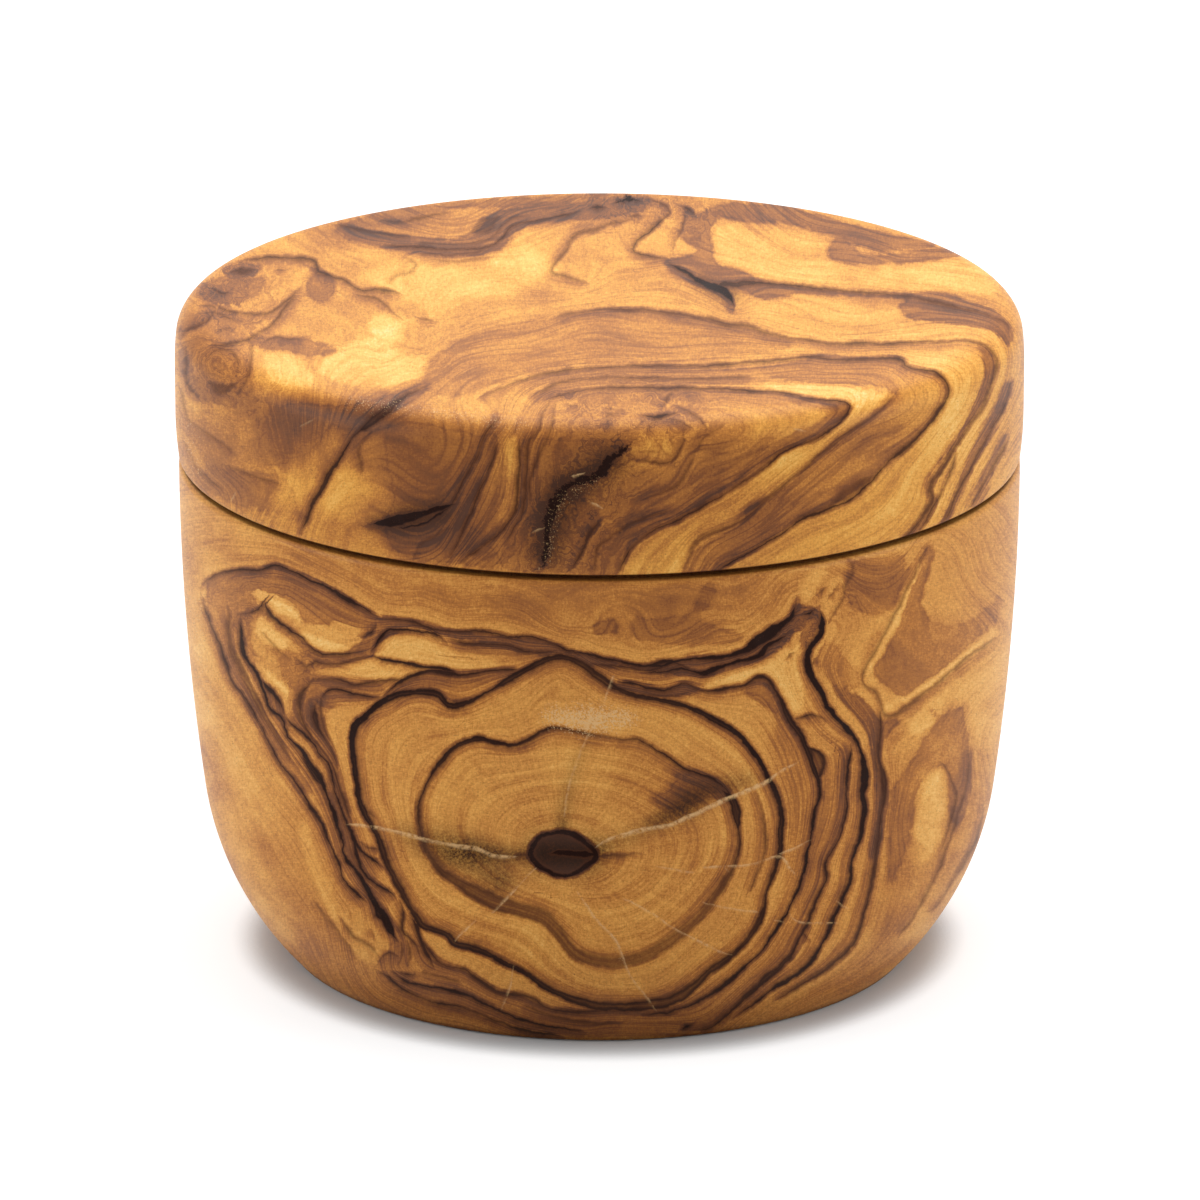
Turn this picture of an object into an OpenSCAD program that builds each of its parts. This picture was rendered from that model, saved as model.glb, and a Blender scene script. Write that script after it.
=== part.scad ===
// Round salt box turned from olive wood, with a thick lid that swivels about an upright pin
// set in the wall at the back. A pair of disc magnets at the front draws the lid home.
// The origin is at the centre of the foot on the ground. +Z is up and the front faces -Y.

/* [Bowl] */
// Outside diameter of the bowl at its rim
bowl_d = 99.3; // [92:0.1:115]
// Height of the bowl from the ground to the rim
bowl_h = 60.5; // [50:0.5:80]
// Diameter of the foot where the curve of the side meets the ground
foot_d = 74; // [64:0.5:80]
// Height at which the side runs into the curve of the foot
turn_h = 20.5; // [14:0.5:26]
// How far the side has leaned in at that height
side_lean = 2.6; // [1:0.1:4]
// Radius of the eased outer edge of the rim
rim_round = 0.9; // [0.4:0.1:1.2]

/* [Cavity] */
// Thickness of the wall at the rim
wall = 9.6; // [9:0.1:12]
// Thickness of the floor above the ground
floor_t = 8.5; // [6:0.5:14]
// Radius of the sweep between the wall and the floor inside
cavity_round = 12; // [6:0.5:18]
// Radius of the eased inner edge of the rim
mouth_round = 1; // [0.4:0.1:1.2]

/* [Foot recess] */
// Diameter of the shallow recess turned under the foot
recess_d = 54; // [30:1:58]
// Depth of that recess at its middle
recess_t = 1; // [0.5:0.1:2]

/* [Lid] */
// Thickness of the lid
lid_h = 18; // [16:0.5:26]
// How far the lid stands out past the rim of the bowl at its widest
lid_overhang = 0.35; // [0:0.05:2]
// Radius of the rounded top edge
lid_round = 3.8; // [2:0.1:5]
// Height of the band below that edge over which the side starts to draw in
shoulder_h = 3.5; // [2:0.1:5]
// How far the side has drawn in at the top of that band
shoulder_in = 0.2; // [0.1:0.05:0.6]
// Height of the band over which the lid draws in towards the seam
skirt_h = 5.4; // [3:0.1:6]
// How far the lid has drawn in at the seam
skirt_in = 0.35; // [0.1:0.05:1]
// Bevel of the sharp edge round the underside of the lid
lid_bevel = 0.25; // [0.1:0.05:0.5]

/* [Pivot] */
// Height of the seam between bowl and lid, which is the washer's thickness
seam = 0.5; // [0.3:0.1:1]
// Diameter of the steel pivot pin
pin_d = 4; // [3:0.1:4.5]
// Length of the pin that is glued into the lid
pin_in_lid = 12; // [8:0.5:13]
// Length of the brass sleeve pressed into the wall of the bowl
sleeve_l = 16; // [10:0.5:20]
// Wall thickness of the sleeve
sleeve_wall = 1; // [0.6:0.1:1.2]
// Running clearance all round the pin in its sleeve
pin_run = 0.05; // [0.03:0.01:0.1]
// Space left below the lower end of the pin
pin_end_gap = 0.5; // [0.2:0.1:2]
// Outside diameter of the washer under the lid
washer_d = 7.2; // [6.5:0.1:7.3]
// Clearance all round the pin in the washer
washer_run = 0.1; // [0.05:0.05:0.2]
// Bevel at the ends of the pin and at the mouth of the sleeve
pin_bevel = 0.3; // [0.1:0.1:0.4]

/* [Catch] */
// Diameter of each disc magnet
magnet_d = 6; // [4:0.1:6.5]
// Thickness of each disc magnet
magnet_t = 3; // [1.5:0.1:5]
// Bevel of the edges of each magnet
magnet_bevel = 0.2; // [0.1:0.05:0.4]

/* [Hidden] */
$fn = 180;
// Facets of the very large circles that the gentle side curves are cut from
long_fn = 1440;

// Both side curves of the bowl are arcs. The upper one is upright at the rim and leans in
// down to the turn, and the lower one leaves it without a kink and ends at the foot.
rim_r = bowl_d / 2;
foot_r = foot_d / 2;
turn_r = rim_r - side_lean;
side_rise = bowl_h - rim_round - turn_h;
side_r = arc_radius(side_rise, side_lean);
turn_a = asin(side_rise / side_r);
side_c = [rim_r - side_r, bowl_h - rim_round];
base_in = turn_r - foot_r;
base_r = (base_in * base_in + turn_h * turn_h) / (2 * (base_in * cos(turn_a) - turn_h * sin(turn_a)));
base_c = [turn_r - base_r * cos(turn_a), turn_h + base_r * sin(turn_a)];
cavity_r = rim_r - wall;

// The lid's side is upright over its middle band. An arc draws it in below that band, and
// another one above it runs into the rounded top edge without a kink.
lid_z = bowl_h + seam;
lid_r = rim_r + lid_overhang;
skirt_r = arc_radius(skirt_h, skirt_in);
shoulder_r = arc_radius(shoulder_h, shoulder_in);
shoulder_a = asin(shoulder_h / shoulder_r);
shoulder_z = lid_h - lid_round * (1 - sin(shoulder_a)) - shoulder_h;
round_c = [lid_r - shoulder_in - lid_round * cos(shoulder_a), lid_h - lid_round];

// The pin and the magnets stand on the middle of the wall, at the back and at the front.
pivot_y = rim_r - wall / 2;
pin_in_bowl = sleeve_l - pin_end_gap;
sleeve_d = pin_d + 2 * (pin_run + sleeve_wall);
// How far a cut runs past the face that it opens
past = 1;
// How far an arc reaches past the line or arc that it meets, so that no step is left between
blend = 0.002;

// Radius of the arc that draws in by inset over a given rise from its upright end
function arc_radius(rise, inset) = (rise * rise + inset * inset) / (2 * inset);

// The corner outside a quarter round of radius r, with the corner itself at the origin
module round_corner(r) {
    difference() {
        translate([-r, -r]) square([r + past, r + past]);
        translate([-r, -r]) circle(r + blend);
    }
}

// Half section of the bowl's outside: the side's arc above the turn and the foot's below it
module bowl_section() {
    difference() {
        intersection() {
            square([bowl_d, bowl_h]);
            translate(side_c) circle(side_r, $fn = long_fn);
            union() {
                translate([0, turn_h]) square([bowl_d, bowl_h]);
                translate(base_c) circle(base_r + blend);
            }
        }
        translate([rim_r, bowl_h]) round_corner(rim_round);
    }
}

// Half section of the salt's space: a straight wall, a swept corner and an eased mouth
module cavity_section() {
    sweep_c = [cavity_r - cavity_round, floor_t + cavity_round];
    intersection() {
        translate([0, floor_t]) square([cavity_r, bowl_h]);
        union() {
            translate([0, sweep_c[1]]) square([bowl_d, bowl_h]);
            square([sweep_c[0], bowl_h]);
            translate(sweep_c) circle(cavity_round + blend);
        }
    }
    translate([cavity_r, bowl_h]) mirror([1, 0]) round_corner(mouth_round);
}

// Half section of the hollow under the foot, a shallow arc as a turner leaves it
module recess_section() {
    recess_r = arc_radius(recess_d / 2, recess_t);
    intersection() {
        translate([0, recess_t - recess_r]) circle(recess_r, $fn = long_fn);
        translate([0, -past]) square([recess_d, recess_t + 2 * past]);
    }
}

// Half section of the lid, cut in turn by the arcs of its skirt, shoulder and top edge
module lid_section() {
    difference() {
        intersection() {
            square([lid_r, lid_h]);
            union() {
                translate([0, skirt_h]) square([bowl_d, lid_h]);
                translate([lid_r - skirt_r, skirt_h]) circle(skirt_r + blend, $fn = long_fn);
            }
            union() {
                square([bowl_d, shoulder_z]);
                translate([lid_r - shoulder_r, shoulder_z]) circle(shoulder_r + blend, $fn = long_fn);
            }
            union() {
                square([bowl_d, shoulder_z + shoulder_h]);
                square([round_c[0], 2 * lid_h]);
                translate(round_c) circle(lid_round + 2 * blend);
            }
        }
        translate([lid_r - skirt_in, 0]) rotate(45)
            square([2 * past, lid_bevel * sqrt(2)], center = true);
    }
}

// A cylinder standing on z = 0 with both of its edges bevelled
module bevelled_rod(d, h, bevel) {
    rotate_extrude()
        polygon([
            [0, 0], [d / 2 - bevel, 0], [d / 2, bevel],
            [d / 2, h - bevel], [d / 2 - bevel, h], [0, h]
        ]);
}

// The bowl, with the bore for the sleeve at the back and the one for its magnet in front
module bowl() {
    color([0.72, 0.47, 0.22])
    difference() {
        rotate_extrude() bowl_section();
        rotate_extrude() cavity_section();
        rotate_extrude() recess_section();
        translate([0, pivot_y, bowl_h - sleeve_l]) cylinder(d = sleeve_d, h = sleeve_l + past);
        translate([0, -pivot_y, bowl_h - magnet_t]) cylinder(d = magnet_d, h = magnet_t + past);
    }
}

// The lid, with blind bores in its underside for the pin and the magnet
module lid() {
    color([0.66, 0.40, 0.17])
    translate([0, 0, lid_z])
    difference() {
        rotate_extrude() lid_section();
        translate([0, pivot_y, -past]) cylinder(d = pin_d, h = pin_in_lid + past);
        translate([0, -pivot_y, -past]) cylinder(d = magnet_d, h = magnet_t + past);
    }
}

// The steel pin, fast in the lid and running in the sleeve
module pivot_pin() {
    color([0.75, 0.76, 0.78])
    translate([0, pivot_y, bowl_h - pin_in_bowl])
        bevelled_rod(pin_d, pin_in_bowl + seam + pin_in_lid, pin_bevel);
}

// The brass sleeve, flush with the rim
module pivot_sleeve() {
    bore_r = pin_d / 2 + pin_run;
    color([0.80, 0.64, 0.30])
    translate([0, pivot_y, bowl_h - sleeve_l])
    rotate_extrude()
        polygon([
            [bore_r, 0], [sleeve_d / 2, 0], [sleeve_d / 2, sleeve_l],
            [bore_r + pin_bevel, sleeve_l], [bore_r, sleeve_l - pin_bevel]
        ]);
}

// The washer that carries the lid and sets the seam
module pivot_washer() {
    color([0.78, 0.79, 0.80])
    translate([0, pivot_y, bowl_h])
    difference() {
        cylinder(d = washer_d, h = seam);
        translate([0, 0, -past]) cylinder(d = pin_d + 2 * washer_run, h = seam + 2 * past);
    }
}

// The magnet set flush in the rim at the front
module bowl_magnet() {
    color([0.70, 0.71, 0.72])
    translate([0, -pivot_y, bowl_h - magnet_t]) bevelled_rod(magnet_d, magnet_t, magnet_bevel);
}

// The magnet set flush in the underside of the lid above it
module lid_magnet() {
    color([0.70, 0.71, 0.72])
    translate([0, -pivot_y, lid_z]) bevelled_rod(magnet_d, magnet_t, magnet_bevel);
}

bowl();
lid();
pivot_pin();
pivot_sleeve();
pivot_washer();
bowl_magnet();
lid_magnet();
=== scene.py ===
"""Round olive-wood salt box with a swivelling lid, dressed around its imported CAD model.

The bowl and the lid are turned again here as dense meshes, because their figure is laid on as
attributes of the vertices. Every dark line of the figure is a vein, traced in pixels of the
photograph, and the shader draws it from each point's distance to it. The steel pin, its brass
sleeve, the washer and the two magnets keep their CAD solids and get better materials.
"""

import logging
import math
from dataclasses import dataclass
from enum import Enum
from typing import Sequence

import bmesh
import bpy
import numpy as np
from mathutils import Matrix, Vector
from mathutils.kdtree import KDTree


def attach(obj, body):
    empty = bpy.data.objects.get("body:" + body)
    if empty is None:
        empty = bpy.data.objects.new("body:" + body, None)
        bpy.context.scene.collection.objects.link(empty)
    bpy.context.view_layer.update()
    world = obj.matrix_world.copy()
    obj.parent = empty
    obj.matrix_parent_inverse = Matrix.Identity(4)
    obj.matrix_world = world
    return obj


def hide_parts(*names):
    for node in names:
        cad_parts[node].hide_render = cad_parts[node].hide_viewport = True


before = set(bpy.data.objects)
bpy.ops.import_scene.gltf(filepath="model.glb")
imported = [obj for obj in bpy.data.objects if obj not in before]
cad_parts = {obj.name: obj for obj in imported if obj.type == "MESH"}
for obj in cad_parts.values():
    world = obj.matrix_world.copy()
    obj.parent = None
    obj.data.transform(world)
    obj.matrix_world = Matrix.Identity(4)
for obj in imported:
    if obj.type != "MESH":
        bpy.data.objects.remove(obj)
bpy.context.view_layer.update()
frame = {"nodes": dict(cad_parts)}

LOG = logging.getLogger("salt_box")
MM = 0.001
# The UV map that the pieces are laid out in for baking, the gap round each box of it, and its
# small corner that the walls of all bores share
BAKE_MAP = "OFBake"
MAP_GAP = 0.002
BORE_SPOT = 0.992
Numbers = Sequence[float]


# Shader maths


@dataclass(frozen=True)
class Paint:
    """A colour as the eye reads it, from 0 to 255 in each channel."""

    red: float
    green: float
    blue: float

    @property
    def linear(self) -> tuple[float, float, float, float]:
        """The colour as a shader socket takes it."""
        def decoded(level: float) -> float:
            """Undoes the sRGB curve."""
            share = level / 255
            return share / 12.92 if share <= 0.04045 else ((share + 0.055) / 1.055) ** 2.4

        return decoded(self.red), decoded(self.green), decoded(self.blue), 1.0


@dataclass(frozen=True)
class Texture:
    """A noise: how fast it changes, its detail and its roughness."""

    scale: float
    detail: float = 2.0
    rough: float = 0.5


class Signal:
    """A socket of a node graph, with the operators that shader maths is written in."""

    def __init__(self, graph: "Graph", socket: bpy.types.NodeSocket | None) -> None:
        """Wraps one output socket of a graph, or none for a node that has no output."""
        self.graph = graph
        self.socket = socket

    @property
    def is_vector(self) -> bool:
        """Whether the socket carries a vector."""
        return self.socket.type == "VECTOR"

    def _with(self, operation: str, first: object, second: object) -> "Signal":
        """Adds the Math or Vector Math node of one operator."""
        kind = "ShaderNodeVectorMath" if self.is_vector else "ShaderNodeMath"
        return self.graph.node(kind, {"operation": operation}, {0: first, 1: second})

    def __add__(self, other: object) -> "Signal":
        """Sum."""
        return self._with("ADD", self, other)

    __radd__ = __add__

    def __sub__(self, other: object) -> "Signal":
        """Difference."""
        return self._with("SUBTRACT", self, other)

    def __rsub__(self, other: object) -> "Signal":
        """Difference, with the number in front."""
        return self._with("SUBTRACT", other, self)

    def __mul__(self, other: object) -> "Signal":
        """Product."""
        return self._with("MULTIPLY", self, other)

    __rmul__ = __mul__

    def __truediv__(self, other: object) -> "Signal":
        """Quotient."""
        return self._with("DIVIDE", self, other)

    def __abs__(self) -> "Signal":
        """Absolute value."""
        return self.graph.node("ShaderNodeMath", {"operation": "ABSOLUTE"}, {0: self})

    def above(self, limit: float) -> "Signal":
        """One where the signal is over a limit, and nought elsewhere."""
        return self._with("GREATER_THAN", self, limit)

    def most(self, other: object) -> "Signal":
        """The larger of two signals."""
        return self._with("MAXIMUM", self, other)

    def held(self) -> "Signal":
        """The signal held between nought and one."""
        return self.graph.node("ShaderNodeClamp", {}, {"Value": self})

    def eased(self, low: float, high: float, top: float = 1.0) -> "Signal":
        """Rises smoothly from nought to top as the signal goes from low to high."""
        return self.graph.node(
            "ShaderNodeMapRange",
            {"interpolation_type": "SMOOTHSTEP", "clamp": True},
            {"Value": self, "From Min": low, "From Max": high, "To Max": top},
        )


class Graph:
    """The node tree of one material or of the world."""

    def __init__(self, owner: bpy.types.Material | bpy.types.World) -> None:
        """Empties the owner's tree."""
        self.owner = owner
        owner.use_nodes = True
        self.tree = owner.node_tree
        self.tree.nodes.clear()

    def node(
        self, kind: str, settings: dict[str, object], inputs: dict[int | str, object],
        output: int | str = 0,
    ) -> Signal:
        """Adds a node.

        Args:
            kind: The node's type.
            settings: Its properties, which are set first. "stops" are the stops of a ramp.
            inputs: Values or signals of its sockets, by index, name or identifier.
            output: The output to hand back, by index, name or identifier.

        Returns:
            That output.
        """
        made = self.tree.nodes.new(kind)
        for name, value in settings.items():
            if name == "stops":
                self._set_stops(made.color_ramp, value)
            else:
                setattr(made, name, value)
        for key, value in inputs.items():
            socket = self._socket(made.inputs, key)
            if isinstance(value, Signal):
                self.tree.links.new(value.socket, socket)
            else:
                socket.default_value = value
        return Signal(self, self._socket(made.outputs, output) if made.outputs else None)

    @staticmethod
    def _set_stops(ramp: bpy.types.ColorRamp, stops: Sequence[tuple[float, Paint]]) -> None:
        """Gives a colour ramp its stops."""
        while len(ramp.elements) < len(stops):
            ramp.elements.new(1.0)
        for element, (place, paint) in zip(ramp.elements, stops):
            element.position = place
            element.color = paint.linear

    @staticmethod
    def _socket(sockets: Sequence[bpy.types.NodeSocket], key: int | str) -> bpy.types.NodeSocket:
        """Finds a socket by its index, identifier or name."""
        if isinstance(key, int):
            return sockets[key]
        for socket in sockets:
            if socket.identifier == key:
                return socket
        return next(s for s in sockets if s.name == key and s.enabled)

    def attribute(self, name: str) -> tuple[Signal, Signal, Signal]:
        """The three numbers that the vertices hold under a name."""
        found = self.node("ShaderNodeAttribute", {"attribute_name": name}, {}, "Vector")
        return self.parts(found)

    def parts(self, vector: Signal) -> tuple[Signal, Signal, Signal]:
        """A vector's three numbers."""
        first = self.node("ShaderNodeSeparateXYZ", {}, {0: vector})
        outputs = first.socket.node.outputs
        return Signal(self, outputs[0]), Signal(self, outputs[1]), Signal(self, outputs[2])

    def vector(self, x: object, y: object, z: object) -> Signal:
        """A vector from three numbers or signals."""
        return self.node("ShaderNodeCombineXYZ", {}, {0: x, 1: y, 2: z})

    def noise(self, at: Signal, texture: Texture) -> Signal:
        """Noise about nought, from about -0.5 to 0.5."""
        return self.node(
            "ShaderNodeTexNoise",
            {},
            {"Vector": at, "Scale": texture.scale, "Detail": texture.detail,
             "Roughness": texture.rough},
            "Fac",
        ) - 0.5

    def mix(self, amount: object, first: object, second: object) -> Signal:
        """Goes from the first colour to the second as the amount goes from nought to one."""
        return self.node(
            "ShaderNodeMix",
            {"data_type": "RGBA"},
            {
                "Factor_Float": amount,
                "A_Color": first.linear if isinstance(first, Paint) else first,
                "B_Color": second.linear if isinstance(second, Paint) else second,
            },
            "Result_Color",
        )

    def finish(
        self, shader: Signal, output: str = "ShaderNodeOutputMaterial",
    ) -> bpy.types.Material | bpy.types.World:
        """Ends the tree in a shader and hands back its owner."""
        self.node(output, {}, {"Surface": shader})
        return self.owner


# The photograph's view, and the figure that is traced in it


@dataclass(frozen=True)
class PhotoCamera:
    """The camera of the photograph, which looks at the box's axis from in front and above.

    Lengths are in mm, the focal length is in pixels, and the photograph is frame_px square."""

    elevation: float = 18.05
    distance: float = 1200.0
    focal: float = 10111.0
    frame_px: float = 1200.0
    axis_px: float = 599.5
    aim_z: float = 42.0
    sensor: float = 36.0

    @property
    def pixels_per_mm(self) -> float:
        """Pixels to a millimetre at the box's axis."""
        return self.focal / self.distance

    def place(self) -> None:
        """Makes the scene's camera."""
        data = bpy.data.cameras.new("photo_camera")
        data.sensor_width = self.sensor
        data.lens = self.sensor * self.focal / self.frame_px
        data.clip_start, data.clip_end = 0.1, 20.0
        camera = bpy.data.objects.new("photo_camera", data)
        bpy.context.scene.collection.objects.link(camera)
        tilt = math.radians(self.elevation)
        aside = (self.frame_px / 2 - self.axis_px) / self.pixels_per_mm
        camera.location = Vector((
            aside, -self.distance * math.cos(tilt), self.aim_z + self.distance * math.sin(tilt)
        )) * MM
        camera.rotation_euler = (math.pi / 2 - tilt, 0.0, 0.0)
        bpy.context.scene.camera = camera

    def pixels(self, at: np.ndarray) -> tuple[np.ndarray, np.ndarray]:
        """Where points in millimetres fall in the photograph.

        Args:
            at: The points, one to a row.

        Returns:
            Their pixels, one point to a row, and their depths behind the box's axis in mm.
        """
        tilt = math.radians(self.elevation)
        rise = at[:, 2] - self.aim_z
        up = at[:, 1] * math.sin(tilt) + rise * math.cos(tilt)
        depth = at[:, 1] * math.cos(tilt) - rise * math.sin(tilt)
        scale = self.focal / (self.distance + depth)
        flat = np.stack([self.axis_px + scale * at[:, 0], self.frame_px / 2 - scale * up], 1)
        return flat, depth

    def block(self, pixels: np.ndarray, depth: np.ndarray) -> np.ndarray:
        """Places in the block of wood, across, up and along the fibres in mm."""
        half = self.frame_px / 2
        return np.column_stack([
            (pixels[:, 0] - half) / self.pixels_per_mm,
            (half - pixels[:, 1]) / self.pixels_per_mm,
            depth,
        ])


PHOTO = PhotoCamera()


@dataclass(frozen=True)
class Stroke:
    """A traced line: its name, its width in pixels, its strength, and its points, as x and y
    by turns, in pixels of the photograph. Width and strength are one number each or several
    that are spread along the line. The level, where there is one, is the ring of growth that
    the line belongs to."""

    name: str
    width: float | tuple[float, ...]
    strength: float | tuple[float, ...]
    trace: tuple[int, ...]
    level: float | None = None
    closed: bool = False

    def path(self, step: float = 4.0) -> np.ndarray:
        """The smooth curve through the points, about a step apart."""
        points = np.array(self.trace, float).reshape(-1, 2)
        ends = (points[-1:], points[:1]) if self.closed else (
            2 * points[:1] - points[1:2], 2 * points[-1:] - points[-2:-1]
        )
        knots = np.vstack([ends[0], points, ends[1]])
        if self.closed:
            knots = np.vstack([knots, points[1:2]])
        made = []
        for a, b, c, d in zip(knots, knots[1:], knots[2:], knots[3:]):
            count = max(1, int(np.hypot(*(c - b)) / step))
            t = (np.arange(count) / count)[:, None]
            made.append(0.5 * (
                2 * b + (c - a) * t + (2 * a - 5 * b + 4 * c - d) * t**2
                + (3 * b - a - 3 * c + d) * t**3
            ))
        made.append(points[:1] if self.closed else points[-1:])
        return np.vstack(made)

    @staticmethod
    def along(values: float | tuple[float, ...], count: int) -> np.ndarray:
        """Spreads one value or a few evenly over a number of points."""
        held = np.atleast_1d(values)
        return np.interp(np.linspace(0, 1, count), np.linspace(0, 1, len(held)), held)


def nearest(paths: Sequence[np.ndarray], at: np.ndarray) -> tuple[np.ndarray, ...]:
    """Finds the nearest point of some polylines to each of many points.

    Args:
        paths: The polylines, whose columns are x, y and whatever else changes along them. One
            that ends where it starts is closed.
        at: The points, one to a row.

    Returns:
        The signed distance, positive to the right of the way along in the photograph, how far
        the point lies past an end of its line, and the other columns at the nearest point.
    """
    opened = [p[:-1] if np.allclose(p[0, :2], p[-1, :2]) else p for p in paths]
    knots = np.vstack(opened)
    before, after, start = [], [], 0
    for path, whole in zip(opened, paths):
        index = np.arange(start, start + len(path))
        before.append(np.roll(index, 1))
        after.append(np.roll(index, -1))
        if len(path) == len(whole):
            before[-1][0], after[-1][-1] = index[0], index[-1]
        start += len(path)
    before, after = np.concatenate(before), np.concatenate(after)
    tree = KDTree(len(knots))
    for number, (x, y) in enumerate(knots[:, :2].tolist()):
        tree.insert((x, y, 0.0), number)
    tree.balance()
    best = np.array([tree.find((x, y, 0.0))[1] for x, y in at.tolist()])
    sides = []
    for low, high in ((before[best], best), (best, after[best])):
        way = knots[high, :2] - knots[low, :2]
        off = at - knots[low, :2]
        length = (way**2).sum(1)
        free = (off * way).sum(1) / np.maximum(length, 1e-9)
        share = free.clip(0, 1)
        away = np.sqrt(((off - share[:, None] * way) ** 2).sum(1))
        away[length < 1e-9] = np.inf
        cross = way[:, 0] * off[:, 1] - way[:, 1] * off[:, 0]
        is_past = ((free < 0) & (before[low] == low)) | ((free > 1) & (after[high] == high))
        values = knots[low, 2:] + share[:, None] * (knots[high, 2:] - knots[low, 2:])
        sides.append(np.column_stack([
            np.where(cross < 0, -away, away), np.where(is_past, away, 0), values
        ]))
    closer = np.abs(sides[0][:, :1]) <= np.abs(sides[1][:, :1])
    return tuple(np.where(closer, *sides).T)


class Channels:
    """Strokes shared out so that no two that lie close together share a channel."""

    TAPER_POINTS = 3
    TAPER_LEAST = 0.15
    FAR_PX = 30.0
    UNSEEN = -5.0

    def __init__(self, strokes: Sequence[Stroke], clear: float = 26.0, most: int = 9) -> None:
        """Shares out the strokes.

        Args:
            strokes: The strokes.
            clear: Least distance in pixels between the edges of two in one channel.
            most: The most channels to use.
        """
        self.sets: list[list[np.ndarray]] = []
        for stroke in sorted(strokes, key=lambda s: -len(s.trace)):
            path = stroke.path()
            half = stroke.along(stroke.width, len(path)) / 2
            if not stroke.closed:
                run = np.minimum(np.arange(len(path)), np.arange(len(path))[::-1])
                half = half * (run / self.TAPER_POINTS).clip(self.TAPER_LEAST, 1)
            path = np.column_stack([path, half, stroke.along(stroke.strength, len(path))])
            self._room_for(path, clear, most).append(path)

    def _room_for(self, path: np.ndarray, clear: float, most: int) -> list[np.ndarray]:
        """The first channel with room for a path, or the one with most room."""
        rooms = []
        for held in self.sets:
            gap, _, half, _ = nearest(held, path[:, :2])
            rooms.append(float((np.abs(gap) - half - path[:, 2]).min()))
            if rooms[-1] >= clear:
                return held
        if len(self.sets) < most:
            self.sets.append([])
            return self.sets[-1]
        LOG.info("a stroke has only %.0f px of room", max(rooms))
        return self.sets[int(np.argmax(rooms))]

    def values(self, at: np.ndarray, reach: float = 12.0) -> list[np.ndarray]:
        """Per channel, each point's signed distance, half width and strength."""
        found = []
        for held in self.sets:
            gap, past, half, strength = nearest(held, at)
            shown = np.where(np.abs(gap) < half + reach, half - past, self.UNSEEN)
            found.append(np.column_stack([gap.clip(-self.FAR_PX, self.FAR_PX), shown, strength]))
        return found


class Growth:
    """A smooth field through the growth levels of the strokes, which the fine streaks follow."""

    UNIT_PX = 100.0
    STEP_PX = 16.0
    BATCH = 4000

    def __init__(self, strokes: Sequence[Stroke], marks: Sequence[Numbers], loose: float) -> None:
        """Fits the field.

        Args:
            strokes: Strokes, of which those with a level are used.
            marks: Single points, as x, y and level.
            loose: How far the field may stray from the levels to stay smooth.
        """
        rows = [np.array(marks, float).reshape(-1, 3)]
        for stroke in strokes:
            if stroke.level is not None:
                path = stroke.path(self.STEP_PX)
                rows.append(np.column_stack([path, np.full(len(path), stroke.level)]))
        known = np.vstack(rows)
        self.centres = known[:, :2] / self.UNIT_PX
        count = len(known)
        system = np.zeros((count + 3, count + 3))
        system[:count, :count] = self._kernel(self.centres) + loose * np.eye(count)
        system[:count, count] = 1
        system[:count, count + 1:] = self.centres
        system[count:, :count] = system[:count, count:].T
        self.weights = np.linalg.solve(system, np.append(known[:, 2], [0, 0, 0]))

    def _kernel(self, at: np.ndarray) -> np.ndarray:
        """The thin plate kernel between points and the centres."""
        square = ((at[:, None] - self.centres[None]) ** 2).sum(2)
        return 0.5 * square * np.log(np.maximum(square, 1e-12))

    def at(self, pixels: np.ndarray) -> np.ndarray:
        """The field at some pixels."""
        found = []
        for some in np.array_split(pixels / self.UNIT_PX, max(1, len(pixels) // self.BATCH)):
            flat = self.weights[-3] + some @ self.weights[-2:]
            found.append(self._kernel(some) @ self.weights[:-3] + flat)
        return np.concatenate(found)


@dataclass(frozen=True)
class Patch:
    """A traced area of darker or paler wood: its name, what it adds to the tone, how many pixels
    its edge takes, and its outline, as x and y by turns, in pixels of the photograph."""

    name: str
    amount: float
    soft: float
    trace: tuple[int, ...]

    def depth(self, at: np.ndarray) -> np.ndarray:
        """How many pixels each point lies inside the outline, negative outside it."""
        edge = Stroke(self.name, 0, 0, self.trace, None, True).path(5.0)
        away = np.abs(nearest([edge], at)[0])
        inside = np.zeros(len(at), bool)
        for (x0, y0), (x1, y1) in zip(edge, edge[1:]):
            if y0 != y1:
                spans = (at[:, 1] < y0) != (at[:, 1] < y1)
                inside ^= spans & (at[:, 0] < x0 + (at[:, 1] - y0) * (x1 - x0) / (y1 - y0))
        return np.where(inside, away, -away)


def covered(patches: Sequence[Patch], at: np.ndarray, reach: float = 30.0) -> np.ndarray:
    """Finds the patch that each point lies deepest in.

    Args:
        patches: The patches.
        at: The points in pixels, one to a row.
        reach: How far outside a patch it still counts, in pixels.

    Returns:
        How deep the point lies in the patch, what the patch adds to the tone and how soft its
        edge is, one point to a row.
    """
    found = np.tile((-reach, 0.0, 3.0), (len(at), 1))
    for patch in patches:
        outline = np.array(patch.trace, float).reshape(-1, 2)
        low, high = outline.min(0) - reach, outline.max(0) + reach
        near = np.flatnonzero(((at > low) & (at < high)).all(1))
        depth = patch.depth(at[near])
        closer = near[depth > found[near, 0]]
        found[closer, 0] = depth[depth > found[near, 0]]
        found[closer, 1:] = patch.amount, patch.soft
    return found


def washed(strokes: Sequence[Stroke], at: np.ndarray) -> np.ndarray:
    """The sum of soft brush strokes, each as wide as it says, at some pixels."""
    total = np.zeros(len(at))
    for stroke in strokes:
        path = stroke.path(12.0)
        half = stroke.along(stroke.width, len(path)) / 2
        path = np.column_stack([path, half, stroke.along(stroke.strength, len(path))])
        reach = 2.3 * half.max()
        near = (at > path[:, :2].min(0) - reach).all(1) & (at < path[:, :2].max(0) + reach).all(1)
        gap, _, half, strength = nearest([path], at[near])
        total[near] += strength * np.exp(-((gap / half) ** 2))
    return total


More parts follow.
